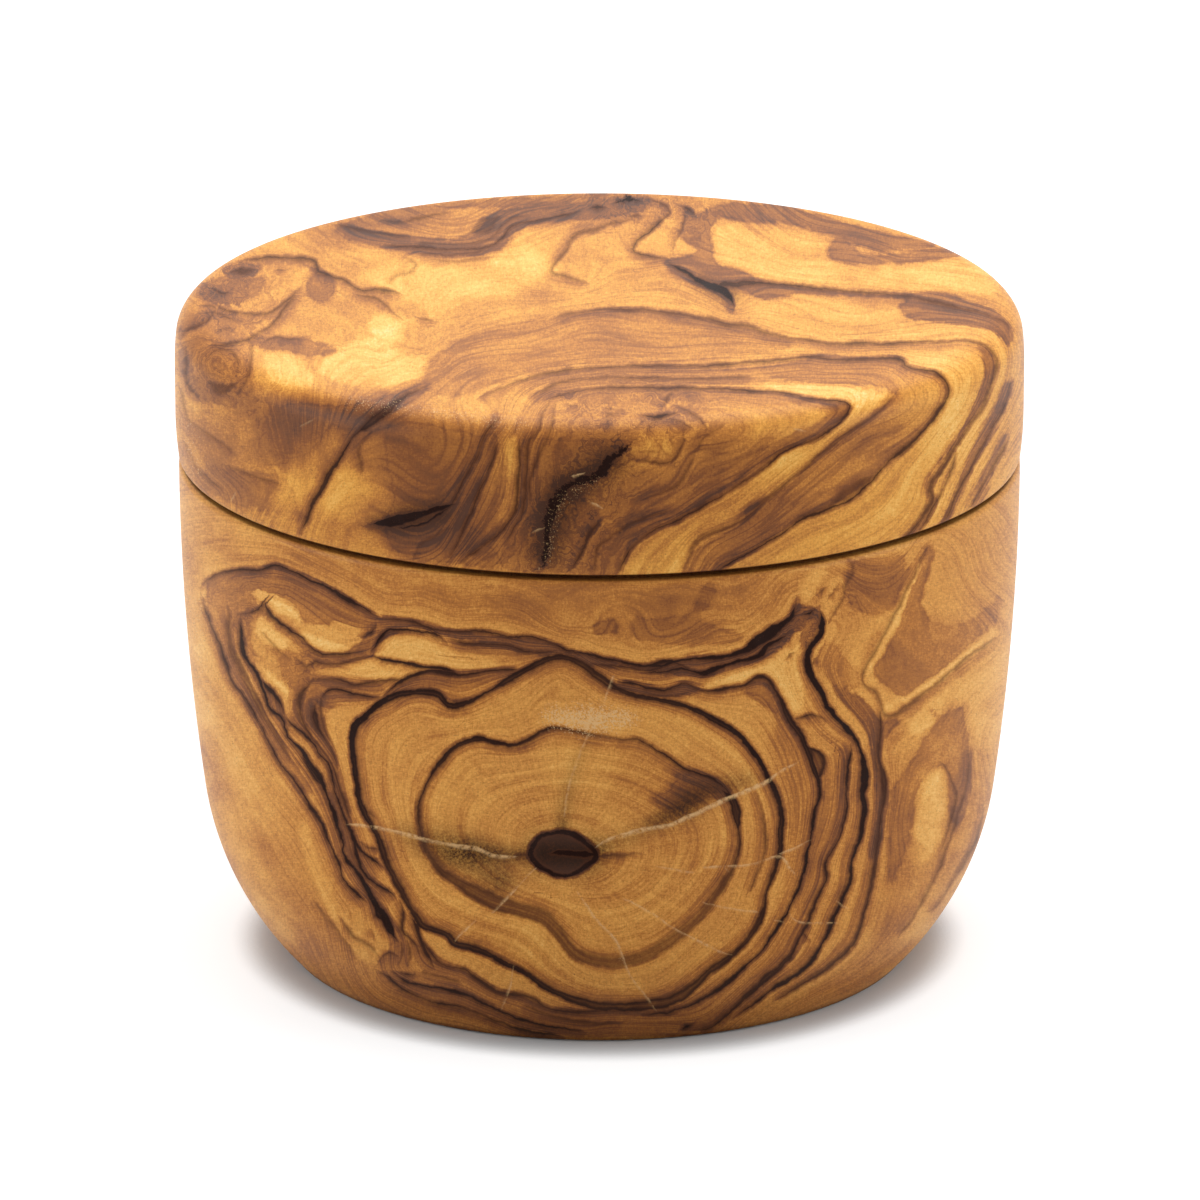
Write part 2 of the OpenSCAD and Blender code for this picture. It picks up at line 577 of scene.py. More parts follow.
def wander(at: np.ndarray, seed: float) -> np.ndarray:
    """A smooth number from about -1 to 1 at each point in mm, from a few waves."""
    waves = np.array([
        [0.061, 0.047, 0.033],
        [-0.043, 0.083, 0.021],
        [0.107, -0.029, 0.047],
        [0.019, 0.119, -0.039],
    ])
    shifts = seed + np.array([0.0, 2.1, 4.4, 5.9])
    usual_peak = 2.2
    return np.sin(at @ waves.T + shifts).sum(1) / usual_peak


# The figure of the bowl

PITH_PX = (562.0, 853.0)

BOWL_VEINS = tuple(Stroke(*row) for row in (
    ("pith edge", 7, 0.9, (530, 853, 538, 839, 553, 833, 569, 833, 584, 841, 596, 855, 584, 868, 565, 875,
     548, 871, 536, 862), 0.6, True),
    ("pith slash", (6, 9, 8, 9), 0.97, (546, 853, 566, 854, 584, 854, 598, 856)),
    ("pith tail", (7, 4, 2), (0.8, 0.4), (598, 856, 622, 855, 644, 854)),
    ("pith shoulder", 9, 0.7, (514, 855, 526, 853)),
    ("ring one", (7, 7, 6, 4, 4, 5, 6, 6, 10, 12, 11, 12, 15, 15, 7, 5, 5),
     (0.85, 0.85, 0.8, 0.75, 0.8, 0.85, 0.8, 0.7, 0.55, 0.55, 0.55, 0.6, 0.7, 0.7, 0.75, 0.85), (440, 764,
     452, 749, 476, 739, 500, 743, 512, 745, 524, 742, 546, 730, 560, 728, 588, 734, 620, 739, 636, 740,
     664, 755, 688, 770, 722, 785, 733, 806, 739, 836, 734, 864, 714, 898, 692, 924, 660, 948, 630, 961,
     604, 962, 576, 953, 560, 934, 544, 917, 520, 909, 494, 902, 466, 887, 442, 871, 426, 848, 419, 820,
     420, 798, 432, 774), 3.7, True),
    ("ring two", (8, 7, 8, 9, 8, 8, 9, 8, 8, 8, 6, 7, 9, 14, 13, 10, 9, 8, 9, 7, 9, 7, 8, 10, 10, 8),
     (0.85, 0.85, 0.8, 0.85, 0.9, 0.85, 0.8, 0.8, 0.8, 0.85, 0.85, 0.8, 0.85, 0.9, 0.85), (440, 696,
     446, 704, 460, 705, 488, 692, 524, 671, 552, 659, 572, 659, 598, 677, 624, 692, 660, 700, 692, 710,
     720, 724, 742, 739, 758, 760, 772, 786, 781, 812, 780, 844, 776, 866, 767, 890, 760, 920, 740, 948,
     714, 968, 690, 988, 672, 1000, 640, 1006, 600, 1006, 568, 996, 544, 986, 520, 970, 480, 950, 456, 944,
     448, 934, 424, 926, 410, 906, 388, 864, 378, 836, 362, 808, 356, 772, 352, 746, 358, 724, 378, 706,
     402, 694, 430, 693), 5.8, True),
    ("ring one, right", (6, 12, 10, 6), 0.85, (716, 786, 728, 796, 736, 812, 738, 838)),
    ("ring two, inner twin", (3, 4, 3), 0.6, (756, 790, 764, 820, 765, 852, 754, 880, 749, 892)),
    ("ring three", (5, 5, 4, 5, 7, 9, 7, 5, 5, 5, 5, 6, 6, 5), (0.85, 0.8, 0.85, 0.9, 0.85, 0.8), (616, 682,
     632, 684, 664, 691, 684, 683, 704, 691, 740, 686, 762, 678, 776, 692, 788, 718, 802, 738, 812, 764,
     819, 790, 814, 818, 805, 864, 798, 888, 786, 912, 766, 944, 746, 964, 714, 992, 676, 1010,
     640, 1016), 7.2),
    ("ring three, knuckle", (8, 14, 18, 12, 5), 0.8, (806, 744, 815, 754, 818, 764, 818, 776, 815, 784)),
    ("ring three, link", 4, 0.8, (796, 718, 816, 716, 828, 720)),
    ("ring three, root", 3, 0.7, (640, 693, 676, 696, 690, 691)),
    ("low ring, first", (4, 5, 5, 4), 0.75, (416, 920, 423, 942, 440, 963, 464, 970, 496, 992, 524, 996,
     552, 1009, 584, 1012, 620, 1010, 640, 1009), 7.2),
    ("low ring, second", (4, 5, 5, 4), 0.85, (392, 972, 416, 985, 456, 992, 486, 1005, 512, 1017, 550, 1027,
     584, 1031), 8.6),
    ("low ring, third", (4, 4, 5), 0.8, (380, 972, 402, 988, 432, 1002, 460, 1007, 490, 1018, 524, 1031,
     564, 1037), 10.0),
    ("low ring, short", 3, 0.6, (422, 972, 440, 976, 460, 982)),
    ("low ring, inner", (4, 3), 0.65, (524, 1006, 556, 1017, 600, 1024, 620, 1022)),
    ("foot knot", (14, 8), 0.9, (680, 1030, 694, 1022)),
    ("ring four", (6, 5, 4, 4, 5, 5, 6, 6, 8, 7, 5, 5), (0.85, 0.8, 0.8), (851, 742, 849, 760, 847, 780,
     845, 816, 836, 844, 825, 862, 826, 880, 814, 904, 808, 922, 799, 936, 790, 956, 766, 978, 738, 1004,
     712, 1026, 692, 1032), 8.6),
    ("star limb", (8, 8, 7, 8, 9, 8, 7, 7, 9, 9, 8, 7, 7, 6, 6, 7, 6, 6, 6, 5, 5, 4),
     (0.95, 0.9, 0.85, 0.85), (820, 610, 822, 628, 816, 640, 808, 651, 807, 664, 812, 680, 822, 694,
     826, 706, 838, 720, 850, 733, 858, 746, 865, 770, 862, 792, 864, 812, 859, 838, 851, 862, 850, 878,
     844, 894, 834, 914, 826, 936, 810, 962, 780, 984, 752, 1004, 734, 1018), 10.0),
    ("ring five, twin", 3, 0.7, (878, 740, 875, 760, 880, 776, 881, 792)),
    ("ring six", (4, 5, 7, 8, 5, 5, 7, 5, 5, 6, 7, 5, 4), 0.75, (880, 706, 880, 732, 878, 756, 883, 778,
     884, 798, 880, 820, 877, 850, 872, 880, 866, 904, 862, 922, 852, 944, 830, 966, 800, 984,
     776, 1000), 11.4),
    ("low right, bud", 10, 0.9, (799, 931, 808, 939)),
    ("top line", (4, 5, 5, 4, 4, 5, 5, 6), (0.75, 0.8, 0.85), (380, 618, 416, 623, 440, 632, 480, 631,
     508, 636, 540, 639, 562, 649, 590, 655, 640, 666, 664, 663, 680, 661), 10.0),
    ("star's left arm", (4, 4, 5, 5, 6, 5, 7, 13, 12, 8, 4), (0.85, 0.88, 0.92), (640, 666, 664, 667,
     678, 661, 700, 659, 724, 657, 742, 652, 760, 640, 776, 629, 790, 618, 795, 606, 796, 599), 10.0),
    ("top twin", (3, 4, 4), (0.7, 0.8), (588, 664, 620, 667, 652, 671, 676, 664, 700, 676)),
    ("second line", 4, 0.75, (448, 640, 476, 645, 506, 645, 526, 652, 560, 652), 8.6),
    ("star's inner arm", (3, 4, 5, 6, 8, 5, 5, 7, 6, 3), (0.8, 0.9, 0.9), (640, 673, 664, 673, 682, 669,
     696, 674, 708, 673, 720, 667, 738, 662, 758, 656, 768, 645, 780, 639, 792, 628), 8.6),
    ("star's right horn", (6, 9, 7), 0.93, (801, 614, 810, 613, 817, 607)),
    ("over ring two", (5, 6, 5, 4), (0.85, 0.8), (382, 698, 402, 681, 426, 672, 460, 675, 500, 670,
     520, 670), 7.2),
    ("lens, top", (6, 5, 5, 6), (0.9, 0.8), (371, 652, 384, 635, 396, 631, 428, 633, 448, 644), 8.6),
    ("lens, bottom", (5, 5, 4), 0.85, (370, 656, 400, 663, 438, 669, 460, 674)),
    ("lens, corner", (7, 9, 5), 0.85, (376, 625, 368, 634, 360, 637)),
    ("star fleck one", 5, 0.8, (818, 595, 826, 588)),
    ("star fleck four", 4, 0.7, (834, 590, 838, 585)),
    ("star fleck five", 5, 0.85, (814, 664, 816, 659)),
    ("star fleck two", 5, 0.85, (828, 598, 834, 592)),
    ("star fleck three", 4, 0.75, (787, 658, 794, 652)),
    ("crown edge", (4, 5, 6, 5, 5, 6, 6, 5), (0.7, 0.85, 0.85), (202, 585, 220, 573, 258, 570, 274, 566,
     288, 571, 320, 585, 360, 607, 380, 618), 10.0),
    ("crown inner", (4, 5, 4, 4), 0.8, (238, 616, 260, 609, 263, 604, 274, 619, 300, 637, 312, 649, 324, 654,
     344, 654, 362, 650), 8.6),
    ("sliver thread", 3, 0.5, (262, 632, 270, 640, 280, 652, 290, 658)),
    ("crown fork", (3, 4, 4, 5, 5), 0.75, (310, 682, 320, 679, 340, 680, 356, 685, 376, 682, 404, 680)),
    ("crown fork, low", (4, 5, 4, 4), 0.85, (320, 702, 326, 692, 340, 690, 362, 696, 382, 698)),
    ("crown fork, high", (3, 4, 3), 0.7, (298, 660, 307, 667, 316, 663, 336, 665, 356, 659, 372, 656)),
    ("left outer", (4, 5, 5, 4, 4, 4, 5, 5, 6, 5, 5, 6), (0.75, 0.8, 0.85), (203, 598, 210, 620, 222, 652,
     232, 681, 244, 697, 256, 718, 268, 740, 278, 760, 291, 776, 303, 795, 318, 818, 326, 834, 337, 860,
     344, 880, 357, 895, 368, 902), 10.0),
    ("left band", (5, 8, 7, 5), (0.5, 0.6, 0.5), (228, 606, 229, 640, 240, 668, 262, 712, 292, 760)),
    ("left main", (5, 8, 6, 6, 5, 5, 7, 7, 6, 6, 6, 6, 7, 9, 10, 7), (0.85, 0.9), (241, 617, 240, 634,
     245, 657, 258, 676, 264, 694, 270, 709, 282, 719, 288, 736, 299, 748, 312, 768, 322, 784, 329, 800,
     336, 820, 342, 840, 345, 858, 357, 871, 366, 888, 376, 906, 386, 922, 398, 942), 8.6),
    ("left knot, upper", (5, 9, 7, 4, 3), 0.85, (259, 678, 268, 688, 276, 696, 281, 706, 284, 716)),
    ("left double", (3, 7, 11, 9, 4), 0.82, (298, 750, 304, 760, 311, 768, 318, 778, 326, 792)),
    ("left inner", (4, 4, 4, 5, 5, 5, 5, 7, 5, 6, 6), 0.85, (284, 716, 296, 728, 310, 741, 320, 756,
     328, 764, 332, 780, 338, 800, 343, 816, 352, 838, 358, 860, 368, 879, 386, 890, 396, 898), 7.2),
    ("left third", (5, 7, 4, 3, 4, 5, 6, 4), (0.75, 0.7), (312, 680, 304, 690, 299, 704, 304, 726, 316, 744,
     330, 762, 338, 784, 346, 808, 351, 824)),
    ("left fourth", (4, 8, 5, 3, 5, 5), 0.8, (318, 700, 314, 709, 316, 722, 326, 742, 334, 756, 337, 770)),
    ("left fifth", (4, 3, 3), 0.65, (322, 696, 320, 712, 326, 732, 334, 748)),
    ("left sixth", 3, 0.6, (346, 834, 351, 852, 357, 866)),
    ("left lower thread", (3, 4, 3), 0.6, (340, 918, 352, 934, 368, 945, 380, 958)),
    ("left low thread", 3, 0.45, (314, 902, 330, 922, 344, 940, 356, 960)),
    ("left wedge", (7, 8, 5, 4), 0.85, (347, 826, 354, 842, 362, 852, 374, 861, 385, 868)),
    ("left branch", (4, 5, 6), 0.8, (360, 841, 368, 848, 378, 849)),
    ("left low branch", 4, 0.75, (400, 900, 403, 914, 402, 930, 412, 941, 420, 954)),
    ("ring two, tail", (6, 6, 5), 0.8, (410, 914, 418, 932, 424, 950, 434, 968)),
    ("left knot", (9, 12, 8), 0.88, (372, 902, 378, 914, 386, 926)),
    ("left knot, low", 6, 0.8, (372, 930, 375, 937)),
    ("corner loop", 4, 0.8, (378, 962, 388, 954, 400, 958)),
    ("corner bar", 4, 0.75, (400, 940, 402, 952, 400, 964)),
    ("corner bar two", 4, 0.75, (407, 940, 410, 956, 409, 966)),
    ("corner base", 8, 0.85, (399, 972, 415, 975)),
    ("ring two fill", (10, 6), 0.6, (362, 808, 376, 818)),
    ("chevron edge", (3, 3, 3, 4, 3, 3), (0.55, 0.6), (928, 546, 902, 600, 880, 642, 862, 678, 876, 692,
     888, 716, 924, 694, 960, 664, 995, 637), 11.4),
    ("star thread", 2, 0.55, (850, 562, 854, 570, 846, 582, 843, 598, 836, 610, 828, 624)),
    ("right loop", 3, 0.6, (942, 764, 954, 788, 955, 804, 946, 836, 940, 854)),
    ("right arc", (3, 3, 4), 0.6, (968, 752, 968, 776, 960, 808, 950, 838, 938, 872, 920, 906,
     900, 935), 13.0),
    ("right low arc", 3, 0.55, (984, 806, 976, 840, 960, 868, 936, 906, 928, 912)),
))

BOWL_SCARS = tuple(Stroke(*row) for row in (
    ("left crack", (2, 3, 4, 3, 4, 4, 3), 0.8, (346, 824, 380, 828, 416, 837, 452, 845, 480, 850, 496, 856,
     519, 856)),
    ("right crack", (3, 4, 4, 5, 4, 3), 0.85, (594, 848, 610, 839, 648, 829, 676, 823, 720, 802, 760, 785,
     780, 772, 800, 760)),
    ("upper crack", (1.5, 2), 0.5, (563, 818, 570, 784, 584, 744, 600, 712, 614, 674)),
    ("scratch 1", 1.6, 0.7, (536, 867, 516, 889, 491, 914)),
    ("scratch 2", 1.6, 0.7, (478, 918, 460, 935, 454, 943)),
    ("scratch 3", (2, 2, 1.5), (0.85, 0.6), (576, 891, 600, 923, 618, 944, 632, 978, 658, 1012)),
    ("scratch 4", (2, 2, 1.5), 0.8, (620, 897, 646, 910, 680, 931, 712, 948, 734, 955)),
    ("scratch 5", 1.6, 0.65, (652, 866, 696, 873)),
    ("scratch 6", 2, 0.75, (700, 867, 748, 865, 778, 856, 790, 868, 796, 875)),
    ("scratch 7", 1.8, 0.7, (778, 855, 800, 845, 813, 838)),
    ("scratch 8", 1.5, 0.6, (724, 867, 731, 874)),
    ("scratch 9", (2, 1.5), 0.7, (702, 902, 732, 909, 760, 912)),
    ("scratch 10", 1.6, 0.7, (774, 920, 784, 922)),
    ("scratch 11", (2, 1.5), 0.8, (789, 914, 800, 922, 839, 923)),
    ("scratch 12", 1.6, 0.7, (836, 900, 842, 906, 850, 910)),
    ("scratch 13", 1.6, 0.7, (514, 965, 509, 990, 501, 1011)),
))

BOWL_TONES = tuple(Stroke(*row) for row in (
    ("strip under the seam", (44, 50, 60), (0.12, 0.2, 0.18, 0.1), (300, 560, 560, 606, 860, 588)),
    ("left field", (50, 60, 50), (-0.06, -0.08, -0.05), (214, 640, 240, 730, 270, 800)),
    ("left lower field", 60, 0.07, (290, 850, 330, 940)),
    ("left bundle", (40, 40, 34), (0.06, 0.08, 0.1), (290, 710, 330, 800, 372, 890)),
    ("over the right crack", (40, 50), (0.02, 0.14), (600, 760, 700, 790)),
    ("right bundle", (60, 70, 70, 50), (0.04, 0.06, 0.06, 0.06), (780, 650, 830, 720, 850, 820, 826, 920)),
    ("chevron light", 9, -0.17, (924, 560, 898, 612, 866, 672)),
    ("chevron light, right", 9, -0.17, (886, 708, 930, 684, 996, 632)),
    ("brown right", (50, 60, 44), (0.06, 0.08, 0.08), (906, 760, 900, 840, 880, 930)),
    ("inside, right", (60, 70, 60), (0.04, 0.1, 0.08), (610, 760, 660, 820, 710, 860)),
    ("inside, low", (50, 60), 0.06, (600, 880, 680, 900)),
    ("beyond ring two", (44, 50), (0.18, 0.18, 0.12), (786, 740, 800, 800, 792, 860)),
    ("under the top line", (30, 36), (0.08, 0.1, 0.08), (470, 652, 560, 664, 680, 690)),
    # Painted shade: the bowl darkens towards its foot, near the floor
    ("base", 40, 0.1, (300, 950, 400, 1010, 600, 1044, 800, 1010, 900, 950)),
))

BOWL_SMUDGES = tuple(Stroke(*row) for row in (
    ("pith", 40, 1.0, (544, 854, 584, 855)),
    ("left of the pith", (26, 40, 30, 16), (0.35, 0.75, 0.85, 0.5), (404, 832, 440, 845, 486, 852,
     520, 855)),
    ("below the left crack", (24, 34), (0.3, 0.6), (450, 860, 500, 880)),
    ("right crack shade", (14, 30, 20), (0.3, 0.7, 0.4), (650, 822, 706, 792, 750, 780)),
    ("right of the pith", (20, 22, 20), (0.45, 0.35, 0.35), (600, 850, 640, 832, 690, 812)),
    ("above the pith", (14, 18, 16, 10), (0.6, 0.35, 0.3, 0.15), (562, 828, 566, 800, 578, 760, 592, 738)),
))

BOWL_SCUFFS_AND_SHEEN = tuple(Stroke(*row) for row in (
    ("scuff", (24, 34, 22), (0.8, 1.0, 0.8), (552, 716, 590, 720, 630, 718)),
    ("scuff, low", 8, 0.4, (616, 946, 622, 960)),
    # Painted sheen: a pale haze down the bowl's left edge, where it catches the light at a grazing angle
    ("haze, left", (22, 26, 22), (0.35, 0.3, 0.2), (196, 600, 206, 700, 226, 800)),
))

BOWL_BROWNS = tuple(Patch(*row) for row in (
    ("crack wedge", 0.34, 10, (652, 800, 668, 788, 676, 776, 690, 774, 710, 778, 726, 784, 733, 793,
     724, 797, 700, 803, 676, 810)),
    ("star heart", 0.2, 3, (801, 634, 806, 620, 816, 616, 818, 628, 806, 642, 800, 650)),
    ("pith", 0.8, 3, (526, 853, 535, 836, 552, 829, 570, 830, 588, 839, 600, 855, 586, 871, 564, 878,
     546, 874, 533, 864)),
    ("crown", 0.22, 3, (206, 580, 222, 572, 240, 568, 258, 570, 268, 562, 282, 564, 292, 572, 312, 577,
     330, 588, 350, 598, 372, 611, 380, 618, 370, 628, 358, 630, 340, 622, 318, 627, 300, 622, 296, 612,
     282, 600, 262, 590, 254, 592, 264, 602, 256, 609, 240, 614, 236, 640, 240, 656, 228, 650, 218, 620,
     208, 600)),
    ("left stripe", 0.2, 4, (204, 600, 214, 602, 232, 650, 250, 690, 270, 722, 290, 754, 312, 792, 300, 792,
     276, 756, 258, 728, 240, 694, 222, 656)),
    ("left band", 0.12, 4, (236, 606, 248, 612, 250, 640, 258, 664, 274, 684, 292, 702, 296, 720, 310, 740,
     330, 770, 350, 806, 366, 850, 384, 890, 400, 930, 420, 950, 410, 956, 392, 940, 372, 912, 352, 874,
     338, 830, 320, 786, 300, 756, 282, 720, 262, 690, 246, 668, 238, 640)),
    ("crown middle", 0.16, 5, (298, 640, 330, 655, 366, 654, 358, 660, 330, 667, 310, 668, 306, 674,
     330, 676, 346, 678, 370, 681, 384, 690, 376, 697, 346, 700, 332, 706, 328, 722, 330, 740, 338, 752,
     337, 766, 344, 792, 352, 820, 342, 812, 334, 784, 328, 764, 312, 744, 298, 726, 290, 706, 292, 690,
     280, 672, 284, 656)),
    ("lens frame", 0.32, 3, (380, 616, 400, 616, 430, 624, 460, 632, 500, 637, 544, 640, 566, 650, 540, 655,
     500, 648, 462, 642, 440, 636, 412, 629, 392, 632, 376, 645, 372, 655, 360, 657, 350, 652, 362, 640,
     368, 628)),
    ("over ring two", 0.18, 4, (384, 698, 404, 682, 430, 671, 470, 669, 510, 671, 534, 666, 500, 684,
     470, 700, 446, 698, 430, 690, 404, 692)),
    ("arm", 0.36, 3, (560, 650, 600, 656, 650, 664, 690, 656, 730, 656, 760, 640, 784, 622, 792, 608,
     800, 604, 820, 612, 800, 630, 780, 646, 758, 660, 730, 666, 706, 676, 672, 674, 620, 668, 580, 662)),
    ("twin lines", 0.34, 4, (604, 682, 632, 684, 664, 688, 684, 681, 704, 688, 690, 694, 660, 698,
     630, 694)),
    ("knee", 0.24, 5, (740, 690, 764, 682, 778, 700, 796, 730, 800, 740, 780, 720, 760, 704)),
    ("under the seam", 0.17, 5, (638, 620, 690, 612, 700, 590, 712, 580, 717, 590, 708, 608, 700, 622,
     730, 630, 746, 640, 700, 645, 660, 641, 634, 636)),
    ("seam spot", 0.22, 4, (594, 624, 613, 621, 615, 631, 596, 632)),
    ("left of the chevron", 0.2, 5, (854, 561, 878, 556, 902, 552, 906, 570, 900, 590, 894, 608, 872, 618,
     850, 602, 846, 584)),
    ("left of the chevron, low", 0.14, 7, (824, 640, 850, 660, 864, 676, 862, 690, 840, 686, 818, 668)),
    ("in the chevron", 0.22, 3, (926, 552, 931, 546, 936, 552, 930, 572, 923, 592, 921, 606, 930, 620,
     934, 640, 944, 656, 951, 664, 930, 680, 912, 694, 900, 701, 886, 690, 874, 677, 872, 668, 884, 650,
     898, 622, 906, 600, 918, 572)),
    ("right of the chevron", 0.14, 6, (926, 620, 950, 626, 984, 612, 996, 596, 1003, 604, 988, 628, 966, 650,
     948, 664, 934, 644)),
    ("under the chevron", 0.28, 4, (834, 684, 850, 690, 868, 700, 884, 718, 898, 716, 900, 723, 887, 738,
     884, 760, 890, 790, 886, 830, 876, 860, 868, 850, 876, 810, 874, 760, 866, 728, 850, 706, 836, 694)),
    ("right brown", 0.2, 4, (930, 708, 940, 713, 960, 706, 966, 716, 966, 740, 972, 760, 969, 790, 960, 822,
     950, 812, 949, 784, 942, 764, 930, 772, 918, 790, 912, 824, 904, 858, 890, 884, 886, 860, 890, 820,
     892, 790, 902, 770, 916, 750, 922, 735, 934, 724)),
    ("low bundle", 0.16, 5, (400, 940, 424, 944, 446, 962, 500, 990, 560, 1008, 640, 1010, 700, 1000,
     740, 970, 768, 944, 792, 920, 812, 930, 800, 952, 770, 984, 730, 1014, 700, 1030, 640, 1036, 560, 1034,
     500, 1020, 440, 1004, 390, 978, 380, 958)),
    ("ring four side", 0.14, 5, (820, 770, 842, 750, 850, 790, 842, 830, 824, 872, 808, 910, 790, 930,
     800, 890, 814, 830)),
))

BOWL_GOLDS = tuple(Patch(*row) for row in (
    ("star", -0.22, 4, (796, 646, 804, 640, 803, 654, 800, 668, 805, 690, 799, 716, 790, 704, 778, 686,
     762, 674, 746, 680, 730, 684, 706, 686, 704, 682, 732, 674, 756, 666, 772, 658, 786, 650)),
    ("star top, right", -0.16, 4, (822, 590, 836, 577, 846, 582, 840, 602, 829, 622, 823, 606)),
    ("star top, left", -0.16, 4, (798, 590, 812, 571, 826, 567, 818, 590, 806, 602)),
    ("sliver one", -0.24, 3, (260, 616, 270, 622, 282, 636, 290, 640, 300, 649, 286, 647, 272, 644, 262, 640,
     257, 630)),
    ("sliver two", -0.24, 3, (262, 592, 280, 600, 298, 610, 305, 623, 290, 617, 274, 606)),
    ("sliver three", -0.24, 3, (252, 662, 262, 667, 274, 677, 284, 685, 291, 692, 292, 704, 289, 714,
     284, 706, 280, 697, 272, 686, 262, 676)),
    ("sliver five", -0.24, 3, (287, 722, 295, 729, 304, 738, 312, 745, 318, 757, 325, 765, 328, 778,
     331, 792, 323, 783, 318, 772, 311, 761, 304, 750, 294, 741, 289, 733)),
    ("sliver six", -0.16, 4, (300, 822, 306, 824, 314, 850, 326, 880, 338, 904, 352, 926, 372, 946, 380, 958,
     366, 962, 346, 940, 330, 914, 316, 884, 304, 850)),
    ("sliver four", -0.22, 3, (300, 632, 330, 640, 353, 650, 340, 654, 316, 648)),
    ("lens", -0.14, 4, (374, 654, 384, 641, 396, 633, 426, 633, 444, 641, 452, 650, 480, 654, 502, 661,
     484, 668, 440, 668, 400, 661)),
    ("lens below", -0.16, 4, (316, 668, 350, 664, 372, 658, 400, 664, 426, 670, 400, 679, 360, 676,
     330, 674)),
    ("right field", -0.1, 6, (942, 690, 970, 670, 1004, 634, 1008, 700, 994, 744, 974, 744, 968, 708,
     946, 706)),
    ("right lens", -0.16, 3, (914, 718, 924, 704, 940, 696, 942, 716, 930, 730, 918, 738, 908, 731)),
    ("right lens, low", -0.14, 4, (920, 802, 930, 782, 942, 768, 949, 790, 946, 822, 934, 850, 920, 862,
     916, 832)),
))

BOWL_CURLS = tuple(Stroke(*row) for row in (
    ("crown", 60, 0.5, (250, 610, 300, 680)),
    ("star", 40, 0.7, (800, 640, 830, 600)),
))

BOWL_CALM = tuple(Stroke(*row) for row in (
    ("left", (70, 90, 90), 0.9, (205, 560, 210, 760, 270, 920)),
    ("under the seam", (44, 50, 44), 0.7, (340, 570, 560, 604, 760, 600)),
    ("right", (90, 100, 100), 0.8, (900, 600, 940, 800, 900, 980)),
))

BOWL_MARKS = (
    (562, 853, 0), (195, 750, 13.5), (250, 900, 13.0), (600, 560, 12.5), (330, 540, 12.4), (900, 540, 13.5),
    (1000, 740, 14.5), (930, 820, 13.2), (960, 920, 14.5), (420, 1040, 12.5), (700, 1048, 12.0),
    (565, 695, 4.7), (610, 706, 4.7), (520, 706, 4.7), (985, 570, 12.6), (420, 600, 10.9), (520, 615, 10.9),
    (620, 630, 10.9), (720, 630, 10.9), (380, 585, 11.5), (480, 590, 11.6), (580, 598, 11.6),
    (680, 596, 11.6), (760, 590, 11.6),
)


# The figure of the lid

